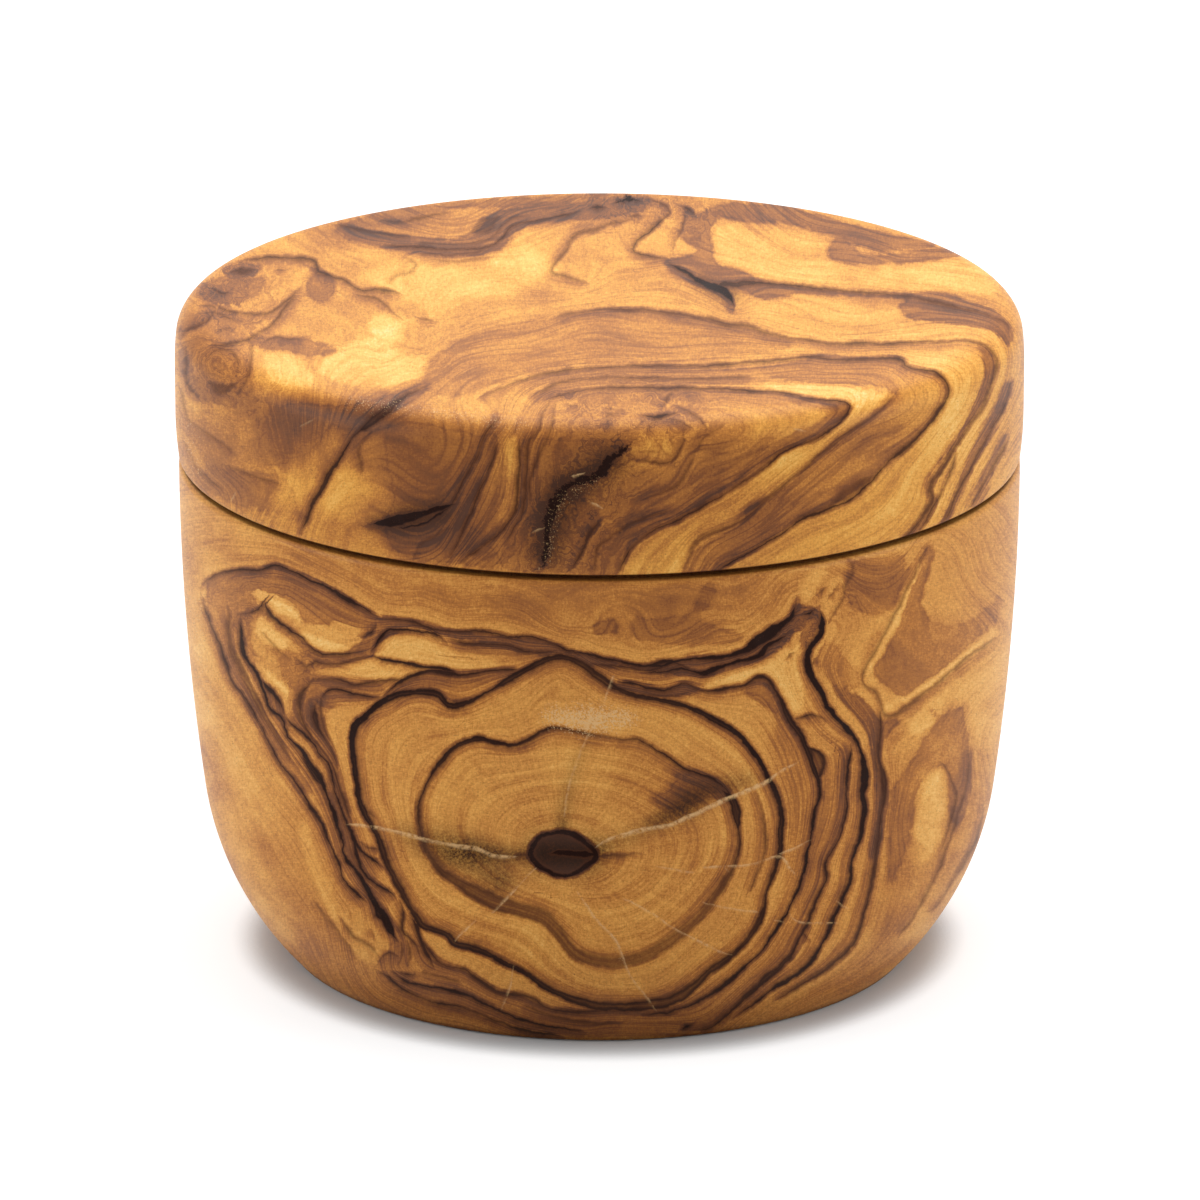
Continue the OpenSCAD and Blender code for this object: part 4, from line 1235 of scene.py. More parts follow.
@dataclass(frozen=True)
class OliveWood:
    """Oiled olive wood, whose figure the vertices hold. A pair of weights is for calm wood
    and for lively wood."""

    name: str
    grain: Grain
    pith: tuple[float, float] = (0.0, 0.0)
    cream: Paint = Paint(246, 204, 132)
    gold_pale: Paint = Paint(240, 186, 102)
    gold: Paint = Paint(222, 158, 75)
    tan: Paint = Paint(185, 118, 50)
    brown: Paint = Paint(132, 76, 34)
    umber: Paint = Paint(80, 45, 27)
    line_brown: Paint = Paint(74, 42, 27)
    line_black: Paint = Paint(32, 14, 9)
    scuffs_and_sheen: Paint = Paint(222, 180, 126)
    # The pale colour of scratches, scuffs and the painted sheen
    smoke: Paint = Paint(50, 33, 25)
    # The colour of the painted shade in the seam and at the foot's edge
    seam: Paint = Paint(44, 16, 10)
    base_tone: float = 0.36
    veins: Pen = Pen("vein", 1.7, 1.4)
    scars: Pen = Pen("scar", 0.9, 0.9)
    spread: float = 1.0
    shade: float = 0.26
    ink: float = 1.2
    ink_least: float = 0.92
    ink_noise: Texture = Texture(0.3, 2.0, 0.6)
    ink_change: float = 0.7
    black_range: tuple[float, float] = (0.62, 0.92)
    streak: Streaks = Streaks(2.6, 1.0, 0.03, 4.0)
    streak_weights: tuple[float, float] = (0.16, 0.42)
    soft_streak: Streaks = Streaks(0.9, 3.0, 0.03)
    soft_weights: tuple[float, float] = (0.7, 0.0)
    drawn: Streaks = Streaks(5.5, 1.6, 0.04, 2.0, 0.55)
    drawn_sharp: float = 13.0
    drawn_from: float = 0.3
    drawn_gain: float = 0.75
    drawn_weights: tuple[float, float] = (0.2, 1.0)
    least_line: float = 0.05
    hair: Streaks = Streaks(16.0, 2.0, 0.05)
    hair_weights: tuple[float, float] = (0.1, 0.26)
    mottle: Texture = Texture(0.11, 3.0, 0.55)
    mottle_weights: tuple[float, float] = (0.54, 0.24)
    blotch: Texture = Texture(0.3)
    blotch_weights: tuple[float, float] = (0.34, 0.1)
    weave: tuple[float, float, float] = (6.5, 1.5, 0.1)
    weave_weight: float = 0.24
    fine: Texture = Texture(3.4, 3.0, 0.75)
    fine_weight: float = 0.46
    deep_from: float = 0.6
    deep_held: float = 0.4
    fray_streak_px: float = 16.0
    fray: Texture = Texture(0.9, 3.0, 0.6)
    fray_px: float = 8.0
    patch_rim_px: float = 1.5
    patch_rim: float = 0.45
    ray_count: float = 26.0
    ray_weights: tuple[float, float] = (0.04, 0.24)
    ray_range: tuple[float, float] = (6.0, 30.0)
    smoke_least: float = 0.9
    smoke_grain: float = 1.6
    broken: Texture = Texture(1.6, 4.0, 0.7)
    broken_range: tuple[float, float] = (-0.2, 0.1)
    specks: Texture = Texture(5.0, 3.0, 0.7)
    speck_range: tuple[float, float] = (0.13, 0.26)
    speck_lift: float = 0.24
    speck_gain: float = 3.0
    speck_most: float = 0.88
    pore: Texture = Texture(5.5, 1.0)
    pore_range: tuple[float, float] = (0.1, 0.26)
    pore_stretch: float = 0.06
    pore_share: float = 0.3
    relief: float = 0.22
    relief_m: float = 0.00012
    roughness: float = 0.45
    gloss: float = 0.03
    oil: float = 0.36
    oil_rough: float = 0.42
    sheen: float = 0.02
    sheen_rough: float = 0.4

    def material(self, veins: int, scars: int) -> bpy.types.Material:
        """Builds the material.

        Args:
            veins: How many channels of dark lines the vertices hold.
            scars: How many channels of pale lines they hold.

        Returns:
            The material.
        """
        graph = Graph(bpy.data.materials.new(self.name))
        on = Surface(graph)
        mottle, fine = on.noise(self.mottle), on.noise(self.fine)
        dark, shade = self.veins.draw(on, veins, self.spread)
        pale, _ = self.scars.draw(on, scars, self.spread)
        pale = pale * on.noise(self.broken).eased(*self.broken_range)
        inked = dark * (self.ink_least + on.noise(self.ink_noise) * self.ink_change)
        smoky = on.smudge * (self.smoke_least + fine * self.smoke_grain + mottle)
        deep = graph.vector(on.across, on.up, on.depth * self.pore_stretch)
        pores = graph.noise(deep, self.pore).eased(*self.pore_range)
        wood = self._toned(graph, self._level(on, mottle, fine, shade))
        wood = graph.mix(smoky.held(), wood, self.smoke)
        wood = graph.mix((inked * self.ink).held(), wood, self.line_brown)
        wood = graph.mix(dark.eased(*self.black_range), wood, self.line_black)
        # Pale scratches and scuffs, and the painted sheen on the left edges
        wood = graph.mix(pale.most(self._scuff_and_sheen_specks(on)).held(), wood, self.scuffs_and_sheen)
        wood = graph.mix(pores * self.pore_share, wood, self.umber)
        # Painted shade: the seam and the foot's edge darken towards the seam colour
        wood = graph.mix(on.painted_edge_shade.held(), wood, self.seam)
        height = fine * 0.5 - pores * 0.7 - inked * 0.35 - pale * 0.6
        bump = graph.node(
            "ShaderNodeBump", {},
            {"Strength": self.relief, "Distance": self.relief_m, "Height": height},
        )
        rough = mottle * 0.1 + fine * 0.1 + pale * 0.2 + self.roughness
        clean = (1 - inked.most(on.smudge).most(on.painted_edge_shade)).held()
        return graph.finish(graph.node(
            "ShaderNodeBsdfPrincipled", {},
            {"Base Color": wood, "Roughness": rough.held(), "Normal": bump,
             "Coat Weight": clean * (mottle * 0.2 + self.oil), "Coat Roughness": self.oil_rough,
             "Specular IOR Level": self.gloss, "Sheen Weight": self.sheen,
             "Sheen Roughness": self.sheen_rough},
        ))

    def _toned(self, graph: Graph, level: Signal) -> Signal:
        """The colour of the wood from how dark it is."""
        stops = ((0.0, self.cream), (0.12, self.gold_pale), (0.3, self.gold), (0.52, self.tan),
                 (0.74, self.brown), (1.0, self.umber))
        return graph.node("ShaderNodeValToRGB", {"stops": stops}, {"Fac": level.held()}, "Color")

    def _level(self, on: Surface, mottle: Signal, fine: Signal, shade: Signal) -> Signal:
        """How dark the wood is before its traced lines are drawn.

        Args:
            on: The surface.
            mottle: The broad mottling.
            fine: The finest grain.
            shade: The brown beside the traced lines.

        Returns:
            The level, with nought for the palest gold and one for the darkest brown.
        """
        streak = on.streaks(self.streak)
        level = on.tone + self.base_tone + on.weighed(streak, self.streak_weights)
        level = level + on.weighed(mottle, self.mottle_weights)
        level = level + on.weighed(on.noise(self.blotch), self.blotch_weights)
        level = level + on.weighed(on.streaks(self.soft_streak), self.soft_weights)
        level = level + shade * self.shade + self._patches(on, streak)
        thin = (1 - abs(on.streaks(self.drawn)) * self.drawn_sharp).most(0.0)
        darker = ((level - self.drawn_from) * self.drawn_gain).most(self.least_line)
        level = level + on.weighed(thin * darker, self.drawn_weights)
        level = level + on.weighed(on.streaks(self.hair), self.hair_weights)
        level = level + on.woven(*self.weave) * self.weave_weight
        if self.grain is Grain.END:
            level = level + self._rays(on)
        level = level + fine * self.fine_weight
        return level - (level - self.deep_from).most(0.0) * self.deep_held

    def _patches(self, on: Surface, streak: Signal) -> Signal:
        """What the traced patches add to the tone, with edges that fray along the growth."""
        frayed = streak * self.fray_streak_px + on.noise(self.fray) * self.fray_px
        total = None
        for name in ("brown", "gold"):
            inside, amount, soft = on.graph.attribute(name)
            inside = inside + frayed
            share = (inside / soft).eased(-1.0, 1.0)
            if name == "brown":
                off_rim = abs(inside - self.patch_rim_px) * 0.5
                share = share + (1 - off_rim).most(0.0) * self.patch_rim
            added = share * amount
            total = added if total is None else total + added
        return total

    def _rays(self, on: Surface) -> Signal:
        """Fine light and dark rays that run out from the pith and fade on the way."""
        graph = on.graph
        flat = graph.vector(on.across - self.pith[0], on.up - self.pith[1], 0.0)
        away = graph.node("ShaderNodeVectorMath", {"operation": "LENGTH"}, {0: flat}, "Value")
        way = graph.node("ShaderNodeVectorMath", {"operation": "NORMALIZE"}, {0: flat})
        way_x, way_y, _ = graph.parts(way)
        along = away * 0.1 + on.depth * 0.02
        turned = graph.vector(way_x * self.ray_count, way_y * self.ray_count, along)
        far, near = self.ray_weights
        fade = 1 - away.eased(*self.ray_range)
        return graph.noise(turned, Texture(1.0, 3.0, 0.6)) * (fade * near + far)

    def _scuff_and_sheen_specks(self, on: Surface) -> Signal:
        """Pale specks where the surface is scuffed, and the painted sheen along the left edges."""
        specks = (on.noise(self.specks) + on.scuffs_and_sheen * self.speck_lift).eased(*self.speck_range)
        return specks * (on.scuffs_and_sheen * self.speck_gain).held() * self.speck_most


@dataclass(frozen=True)
class Metal:
    """A bright metal with fine turning marks, and worn spots of a darker tint."""

    name: str
    paint: Paint
    roughness: float
    marks: float
    turns: float = 400.0
    wear: Texture = Texture(700.0, 3.0, 0.6)
    wear_tint: tuple[float, float, float] = (0.72, 0.7, 0.68)
    wear_share: float = 0.35
    relief: float = 0.25
    relief_m: float = 0.00003

    def material(self) -> bpy.types.Material:
        """Builds the material."""
        graph = Graph(bpy.data.materials.new(self.name))
        place = graph.node("ShaderNodeTexCoord", {}, {}, "Object")
        x, y, z = graph.parts(place)
        lathe = graph.vector(x * self.turns, y * self.turns, z * self.marks)
        turned = graph.noise(lathe, Texture(1.0, 4.0, 0.6))
        worn = graph.noise(place, self.wear)
        levels = (self.paint.red, self.paint.green, self.paint.blue)
        dull = Paint(*(level * tint for level, tint in zip(levels, self.wear_tint)))
        colour = graph.mix(worn.eased(-0.2, 0.4) * self.wear_share, self.paint, dull)
        bump = graph.node(
            "ShaderNodeBump", {},
            {"Strength": self.relief, "Distance": self.relief_m, "Height": turned},
        )
        rough = (turned * 0.16 + worn * 0.12 + self.roughness).held()
        return graph.finish(graph.node(
            "ShaderNodeBsdfPrincipled", {},
            {"Base Color": colour, "Metallic": 1.0, "Roughness": rough, "Normal": bump},
        ))


# Turned pieces


def arc_radius(rise: float, inset: float) -> float:
    """Radius of the arc that draws in by inset over a given rise from its upright end."""
    return (rise * rise + inset * inset) / (2 * inset)


def arc(
    centre: Numbers, radius: float, start: float, end: float, step: float,
) -> list[tuple[float, float]]:
    """Points of an arc in the plane of radius and height.

    Args:
        centre: Its centre.
        radius: Its radius in mm.
        start: Its first angle in degrees from straight out, positive upwards.
        end: Its last angle.
        step: About how far apart the points are in mm.

    Returns:
        The points, both ends among them.
    """
    count = max(2, round(abs(math.radians(end - start)) * radius / step))
    angles = [math.radians(start + (end - start) * i / count) for i in range(count + 1)]
    return [(centre[0] + radius * math.cos(a), centre[1] + radius * math.sin(a)) for a in angles]


def line(start: Numbers, end: Numbers, step: float) -> list[tuple[float, float]]:
    """Points of a straight line about a step apart, without its two ends."""
    count = max(1, round(math.dist(start, end) / step))
    return [
        (start[0] + (end[0] - start[0]) * i / count, start[1] + (end[1] - start[1]) * i / count)
        for i in range(1, count)
    ]


@dataclass(frozen=True)
class Run:
    """A run of a half section in mm, and the boxes that it fills in the map for baking: one for
    the whole turn, or one for the back and one for the front. A flat run has a reach in mm, and
    is laid down as seen from above."""

    points: Sequence[tuple[float, float]]
    boxes: tuple[tuple[float, float, float, float], ...]
    reach: float = 0.0

    def spots(
        self, turn: int, slices: int, low: float, high: float, corners: Sequence[bmesh.types.BMVert],
    ) -> list[tuple[float, float]]:
        """Where the corners of one face lie in the map.

        Args:
            turn: The number of the face round the axis.
            slices: How many faces there are round it.
            low: The share of the run at which the face starts.
            high: The share at which it ends.
            corners: The face's corners.

        Returns:
            Their places, from 0 to 1 both ways.
        """
        if self.reach:
            found = [(0.5 + c.co.x / MM / self.reach / 2, 0.5 + c.co.y / MM / self.reach / 2)
                     for c in corners]
            box = self.boxes[0]
        else:
            start = turn * len(self.boxes) / slices
            box = self.boxes[int(start)]
            start -= int(start)
            end = start + len(self.boxes) / slices
            found = [(start, low), (end, low), (end, high), (start, high)]
        return [
            (box[0] + MAP_GAP + (box[2] - box[0] - 2 * MAP_GAP) * u,
             box[1] + MAP_GAP + (box[3] - box[1] - 2 * MAP_GAP) * v)
            for u, v in found
        ]


@dataclass
class Turned:
    """A piece turned on the lathe: a closed half section swept round the upright axis."""

    name: str
    slices: int = 480
    past: float = 1.0

    def spin(self, runs: Sequence[Run]) -> bpy.types.Object:
        """Makes the piece from the runs of its half section, which starts and ends on the axis."""
        mesh = bmesh.new()
        layer = mesh.loops.layers.uv.new(BAKE_MAP)
        turns = [2 * math.pi * (i + 0.5) / self.slices for i in range(self.slices)]
        ways = [(math.cos(a), math.sin(a)) for a in turns]
        last, row = None, None
        for run in runs:
            points = [last or run.points[0], *run.points]
            steps = np.cumsum([0.0, *(math.dist(a, b) for a, b in zip(points, points[1:]))])
            shares = steps / steps[-1]
            for number, (r, z) in enumerate(run.points):
                before = row
                if r > 0:
                    row = [mesh.verts.new((r * x * MM, r * y * MM, z * MM)) for x, y in ways]
                else:
                    row = [mesh.verts.new((0.0, 0.0, z * MM))] * self.slices
                for i in range(self.slices if before else 0):
                    j = (i + 1) % self.slices
                    corners = tuple(dict.fromkeys((before[i], before[j], row[j], row[i])))
                    spots = run.spots(i, self.slices, shares[number], shares[number + 1], corners)
                    for corner, spot in zip(mesh.faces.new(corners).loops, spots):
                        corner[layer].uv = spot
            last = run.points[-1]
        data = bpy.data.meshes.new(self.name)
        mesh.to_mesh(data)
        mesh.free()
        made = bpy.data.objects.new(self.name, data)
        bpy.context.scene.collection.objects.link(made)
        return made

    @staticmethod
    def bore(piece: bpy.types.Object, place: Numbers, diameter: float, depth: float) -> None:
        """Drills an upright round hole.

        Args:
            piece: The piece to drill.
            place: The middle of the hole's blind end in mm.
            diameter: Its diameter in mm.
            depth: How far the drill reaches from there, upwards or, if negative, downwards.
        """
        mesh = bmesh.new()
        bmesh.ops.create_cone(
            mesh, cap_ends=True, segments=64, radius1=diameter / 2 * MM, radius2=diameter / 2 * MM,
            depth=abs(depth) * MM,
        )
        layer = mesh.loops.layers.uv.new(BAKE_MAP)
        for face in mesh.faces:
            for corner in face.loops:
                x, y, z = corner.vert.co
                corner[layer].uv = (BORE_SPOT + x, BORE_SPOT + (y + z) / 2)
        data = bpy.data.meshes.new("drill")
        mesh.to_mesh(data)
        mesh.free()
        drill = bpy.data.objects.new("drill", data)
        drill.location = Vector((place[0], place[1], place[2] + depth / 2)) * MM
        bpy.context.scene.collection.objects.link(drill)
        cut = piece.modifiers.new("bore", "BOOLEAN")
        cut.object = drill
        cut.solver = "EXACT"
        graph = bpy.context.evaluated_depsgraph_get()
        whole = bpy.data.meshes.new_from_object(piece.evaluated_get(graph))
        piece.modifiers.clear()
        piece.data = whole
        bpy.data.objects.remove(drill)

    @staticmethod
    def places(piece: bpy.types.Object) -> np.ndarray:
        """The piece's vertices in mm, one to a row."""
        found = np.empty(len(piece.data.vertices) * 3)
        piece.data.vertices.foreach_get("co", found)
        return found.reshape(-1, 3) / MM

    @staticmethod
    def hold(piece: bpy.types.Object, name: str, values: np.ndarray) -> None:
        """Stores three numbers on each vertex under a name."""
        layer = piece.data.attributes.new(name, "FLOAT_VECTOR", "POINT")
        layer.data.foreach_set("vector", np.ascontiguousarray(values, np.float32).ravel())

    @staticmethod
    def smooth(piece: bpy.types.Object, angle: float = 38.0) -> None:
        """Shades the piece smoothly, apart from edges sharper than an angle in degrees."""
        piece.data.polygons.foreach_set("use_smooth", [True] * len(piece.data.polygons))
        piece.data.set_sharp_from_angle(angle=math.radians(angle))


@dataclass(frozen=True)
class Figure:
    """What one piece shows: its traced lines, its tones and its growth."""

    veins: tuple[Stroke, ...]
    scars: tuple[Stroke, ...]
    tones: tuple[Stroke, ...]
    smudges: tuple[Stroke, ...]
    scuffs_and_sheen: tuple[Stroke, ...]
    browns: tuple[Patch, ...]
    golds: tuple[Patch, ...]
    curls: tuple[Stroke, ...]
    calm: tuple[Stroke, ...]
    marks: tuple[tuple[float, float, float], ...]

    def dress(
        self, piece: bpy.types.Object, pixels: np.ndarray, block: np.ndarray, painted_edge_shade: np.ndarray,
        wood: OliveWood,
    ) -> None:
        """Lays the figure on a piece and gives it its wood.

        Args:
            piece: The turned piece.
            pixels: Where each vertex falls in the photograph's figure.
            block: Each vertex's place across, up and along the fibres, in mm.
            painted_edge_shade: The painted shade in the seam and at the foot's edge, from nought to one, at
                each vertex.
            wood: The finish.
        """
        veins, scars = Channels(self.veins), Channels(self.scars)
        for name, channels in (("vein", veins), ("scar", scars)):
            for number, values in enumerate(channels.values(pixels)):
                Turned.hold(piece, f"{name}_{number}", values)
        growth = Growth(self.veins, self.marks, 0.02).at(pixels)
        # The third number of growth is the painted shade in the seam and at the foot's edge
        Turned.hold(piece, "growth", np.column_stack([growth, washed(self.curls, pixels), painted_edge_shade]))
        Turned.hold(piece, "brown", covered(self.browns, pixels))
        Turned.hold(piece, "gold", covered(self.golds, pixels))
        tones = [washed(s, pixels) for s in (self.tones, self.smudges, self.scuffs_and_sheen)]
        Turned.hold(piece, "tone", np.column_stack(tones))
        Turned.hold(piece, "block", block)
        quiet = washed(self.calm, pixels).clip(0, 1)
        Turned.hold(piece, "calm", np.column_stack([quiet, quiet, quiet]))
        piece.data.materials.clear()
        piece.data.materials.append(wood.material(len(veins.sets), len(scars.sets)))
        LOG.info("%s: %d vertices, %d vein and %d scar channels", piece.name, len(pixels),
                 len(veins.sets), len(scars.sets))


@dataclass
class Bowl(Turned):
    """The turned bowl. The sizes down to magnet_t are those of the CAD model, apart from the
    small round at the foot, which the CAD model leaves sharp. All lengths are in mm."""

    name: str = "turned_bowl"
    rim_d: float = 99.3
    height: float = 60.5
    foot_d: float = 74.0
    foot_round: float = 0.6
    turn_h: float = 20.5
    side_lean: float = 2.6
    rim_round: float = 0.9
    wall: float = 9.6
    floor_t: float = 8.5
    cavity_round: float = 12.0
    mouth_round: float = 1.0
    recess_d: float = 54.0
    recess_t: float = 1.0
    pivot_y: float = 44.85
    sleeve_d: float = 6.1
    sleeve_l: float = 16.0
    magnet_d: float = 6.0
    magnet_t: float = 3.0
    outside_step: float = 0.56
    inside_step: float = 2.0
    under_step: float = 3.0
    recess_step: float = 4.0
    rim_step: float = 0.12
    land_step: float = 1.5
    mouth_step: float = 0.25
    sweep_points: int = 15
    skin: float = 0.35
    drift: float = 6.5
    drift_over: float = 34.0
    drift_up: float = 0.8
    back_drift: float = 8.0
    back_over: float = 20.0
    back_slow: float = 0.5
    low_edge: float = 0.5

    def outside(self) -> list[tuple[float, float]]:
        """The half section from the foot up to the rim."""
        rim_r, foot_r = self.rim_d / 2, self.foot_d / 2
        turn_r = rim_r - self.side_lean
        rise = self.height - self.rim_round - self.turn_h
        side_r = arc_radius(rise, self.side_lean)
        turn_a = math.asin(rise / side_r)
        base_in = turn_r - foot_r
        base_r = (base_in**2 + self.turn_h**2) / (
            2 * (base_in * math.cos(turn_a) - self.turn_h * math.sin(turn_a))
        )
        base_c = (turn_r - base_r * math.cos(turn_a), self.turn_h + base_r * math.sin(turn_a))
        foot_a = math.degrees(math.asin(base_c[1] / base_r))
        lift_a = foot_a - math.degrees(self.foot_round / base_r)
        turn_deg = math.degrees(turn_a)
        side_c = (rim_r - side_r, self.height - self.rim_round)
        rim_c = (rim_r - self.rim_round, self.height - self.rim_round)
        base = arc(base_c, base_r, -lift_a, -turn_deg, self.outside_step)
        side = arc(side_c, side_r, -turn_deg, 0, self.outside_step)
        rim = arc(rim_c, self.rim_round, 0, 90, self.rim_step)
        foot_in = foot_r - self.foot_round
        start = base[0]
        ease = [
            (foot_in, 0.0),
            (foot_in + 0.55 * self.foot_round, 0.07 * self.foot_round),
            ((foot_r + 2 * start[0]) / 3, start[1] * 0.55),
        ]
        return [*ease, *base, *side[1:], *rim[1:]]

    def runs(self) -> list[Run]:
        """The half section: under the foot, up the outside, down the inside and to the axis."""
        recess_r = arc_radius(self.recess_d / 2, self.recess_t)
        edge_a = math.degrees(math.acos(self.recess_d / 2 / recess_r))
        recess = arc((0, self.recess_t - recess_r), recess_r, 90, edge_a, self.recess_step)
        outside = self.outside()
        cavity_r = self.rim_d / 2 - self.wall
        mouth_c = (cavity_r + self.mouth_round, self.height - self.mouth_round)
        mouth = arc(mouth_c, self.mouth_round, 90, 180, self.mouth_step)
        sweep_c = (cavity_r - self.cavity_round, self.floor_t + self.cavity_round)
        sweep = [
            (sweep_c[0] + self.cavity_round * math.sin(a), sweep_c[1] - self.cavity_round * math.cos(a))
            for a in np.linspace(math.pi / 2, 0, self.sweep_points)
        ]
        axis = (0.0, self.floor_t)
        under = [(0.0, self.recess_t), *recess[1:], *line(recess[-1], outside[0], self.under_step)]
        side = [*outside, *line(outside[-1], mouth[0], self.land_step), *mouth]
        wall = [*line(mouth[-1], sweep[0], self.inside_step), *sweep]
        floor = [*line(sweep[-1], axis, self.inside_step), axis]
        return [
            Run(under, ((0.5, 0.82, 1.0, 0.98),), self.foot_d / 2),
            Run(side, ((0.0, 0.42, 1.0, 0.66), (0.0, 0.0, 1.0, 0.42))),
            Run(wall, ((0.0, 0.66, 1.0, 0.82),)),
            Run(floor, ((0.0, 0.82, 0.5, 1.0),), cavity_r),
        ]

    def blocks(self, at: np.ndarray) -> tuple[np.ndarray, np.ndarray]:
        """Where the figure is read for each vertex.

        The limb that the bowl was cut from lay level, front to back, so each point shows what
        the front shows at its height and width. The figure wanders on the way to the back.

        Args:
            at: The vertices in mm.

        Returns:
            The pixels of the figure, and the places in the block in mm.
        """
        outside = np.array(self.outside())
        reach = np.interp(at[:, 2], outside[:, 1], outside[:, 0])
        across = at[:, 0]
        front = -np.sqrt(np.maximum(reach**2 - across**2, 0.0))
        is_front = (at[:, 1] < 0) & (np.hypot(at[:, 0], at[:, 1]) > reach - self.skin)
        depth = np.where(is_front, 0.0, (at[:, 1] - front).clip(0, None))
        drift = self.drift * (1 - np.exp(-((depth / self.drift_over) ** 2)))
        inner = np.column_stack([across, at[:, 2], depth])
        moved_x = across + drift * wander(inner, 0.7)
        moved_z = at[:, 2] + drift * self.drift_up * wander(inner, 3.1)
        behind = at[:, 1].clip(0, None) / self.back_over
        drift = self.back_drift * (1 - np.exp(-(behind**2)))
        moved_x = moved_x + drift * wander(at * self.back_slow, 5.3)
        moved_z = moved_z + drift * wander(at * self.back_slow, 1.9)
        moved_z = np.where(is_front, at[:, 2], moved_z.clip(self.low_edge, self.height))
        reach = np.interp(moved_z, outside[:, 1], outside[:, 0])
        moved_x = np.where(is_front, across, moved_x.clip(-reach, reach))
        front = np.where(is_front, at[:, 1], -np.sqrt(np.maximum(reach**2 - moved_x**2, 0.0)))
        pixels, _ = PHOTO.pixels(np.column_stack([moved_x, front, moved_z]))
        return pixels, PHOTO.block(pixels, at[:, 1])

    def painted_edge_shade(self, at: np.ndarray) -> np.ndarray:
        """The painted shade at each vertex: in the seam under the lid, and at the foot's edge next to the
        floor.
        """
        reach = np.hypot(at[:, 0], at[:, 1])
        rim = ((at[:, 2] - self.height + 0.24) / 0.1).clip(0, 1)
        rim = rim * ((reach - self.rim_d / 2 + 2.0) / 0.6).clip(0, 1)
        # Painted shade where the foot meets the floor
        foot = (1 - at[:, 2] / 1.1).clip(0, 1)
        foot = foot * ((reach - self.foot_d / 2 + 1.4) / 0.4).clip(0, 1)
        return rim * 0.65 + foot * 0.75

    def build(self) -> bpy.types.Object:
        """Turns, drills and dresses the bowl."""
        piece = self.spin(self.runs())
        for y, diameter, depth in (
            (self.pivot_y, self.sleeve_d, self.sleeve_l), (-self.pivot_y, self.magnet_d, self.magnet_t),
        ):
            self.bore(piece, (0, y, self.height - depth), diameter, depth + self.past)
        self.smooth(piece)
        pith_x, pith_y, _ = PHOTO.block(np.array([PITH_PX]), np.zeros(1))[0].tolist()
        wood = OliveWood("bowl_olive_wood", Grain.END, (pith_x, pith_y))
        figure = Figure(BOWL_VEINS, BOWL_SCARS, BOWL_TONES, BOWL_SMUDGES, BOWL_SCUFFS_AND_SHEEN,
                        BOWL_BROWNS, BOWL_GOLDS, BOWL_CURLS, BOWL_CALM, BOWL_MARKS)
        places = self.places(piece)
        figure.dress(piece, *self.blocks(places), self.painted_edge_shade(places), wood)
        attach(piece, "base")
        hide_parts("bowl")
        return piece


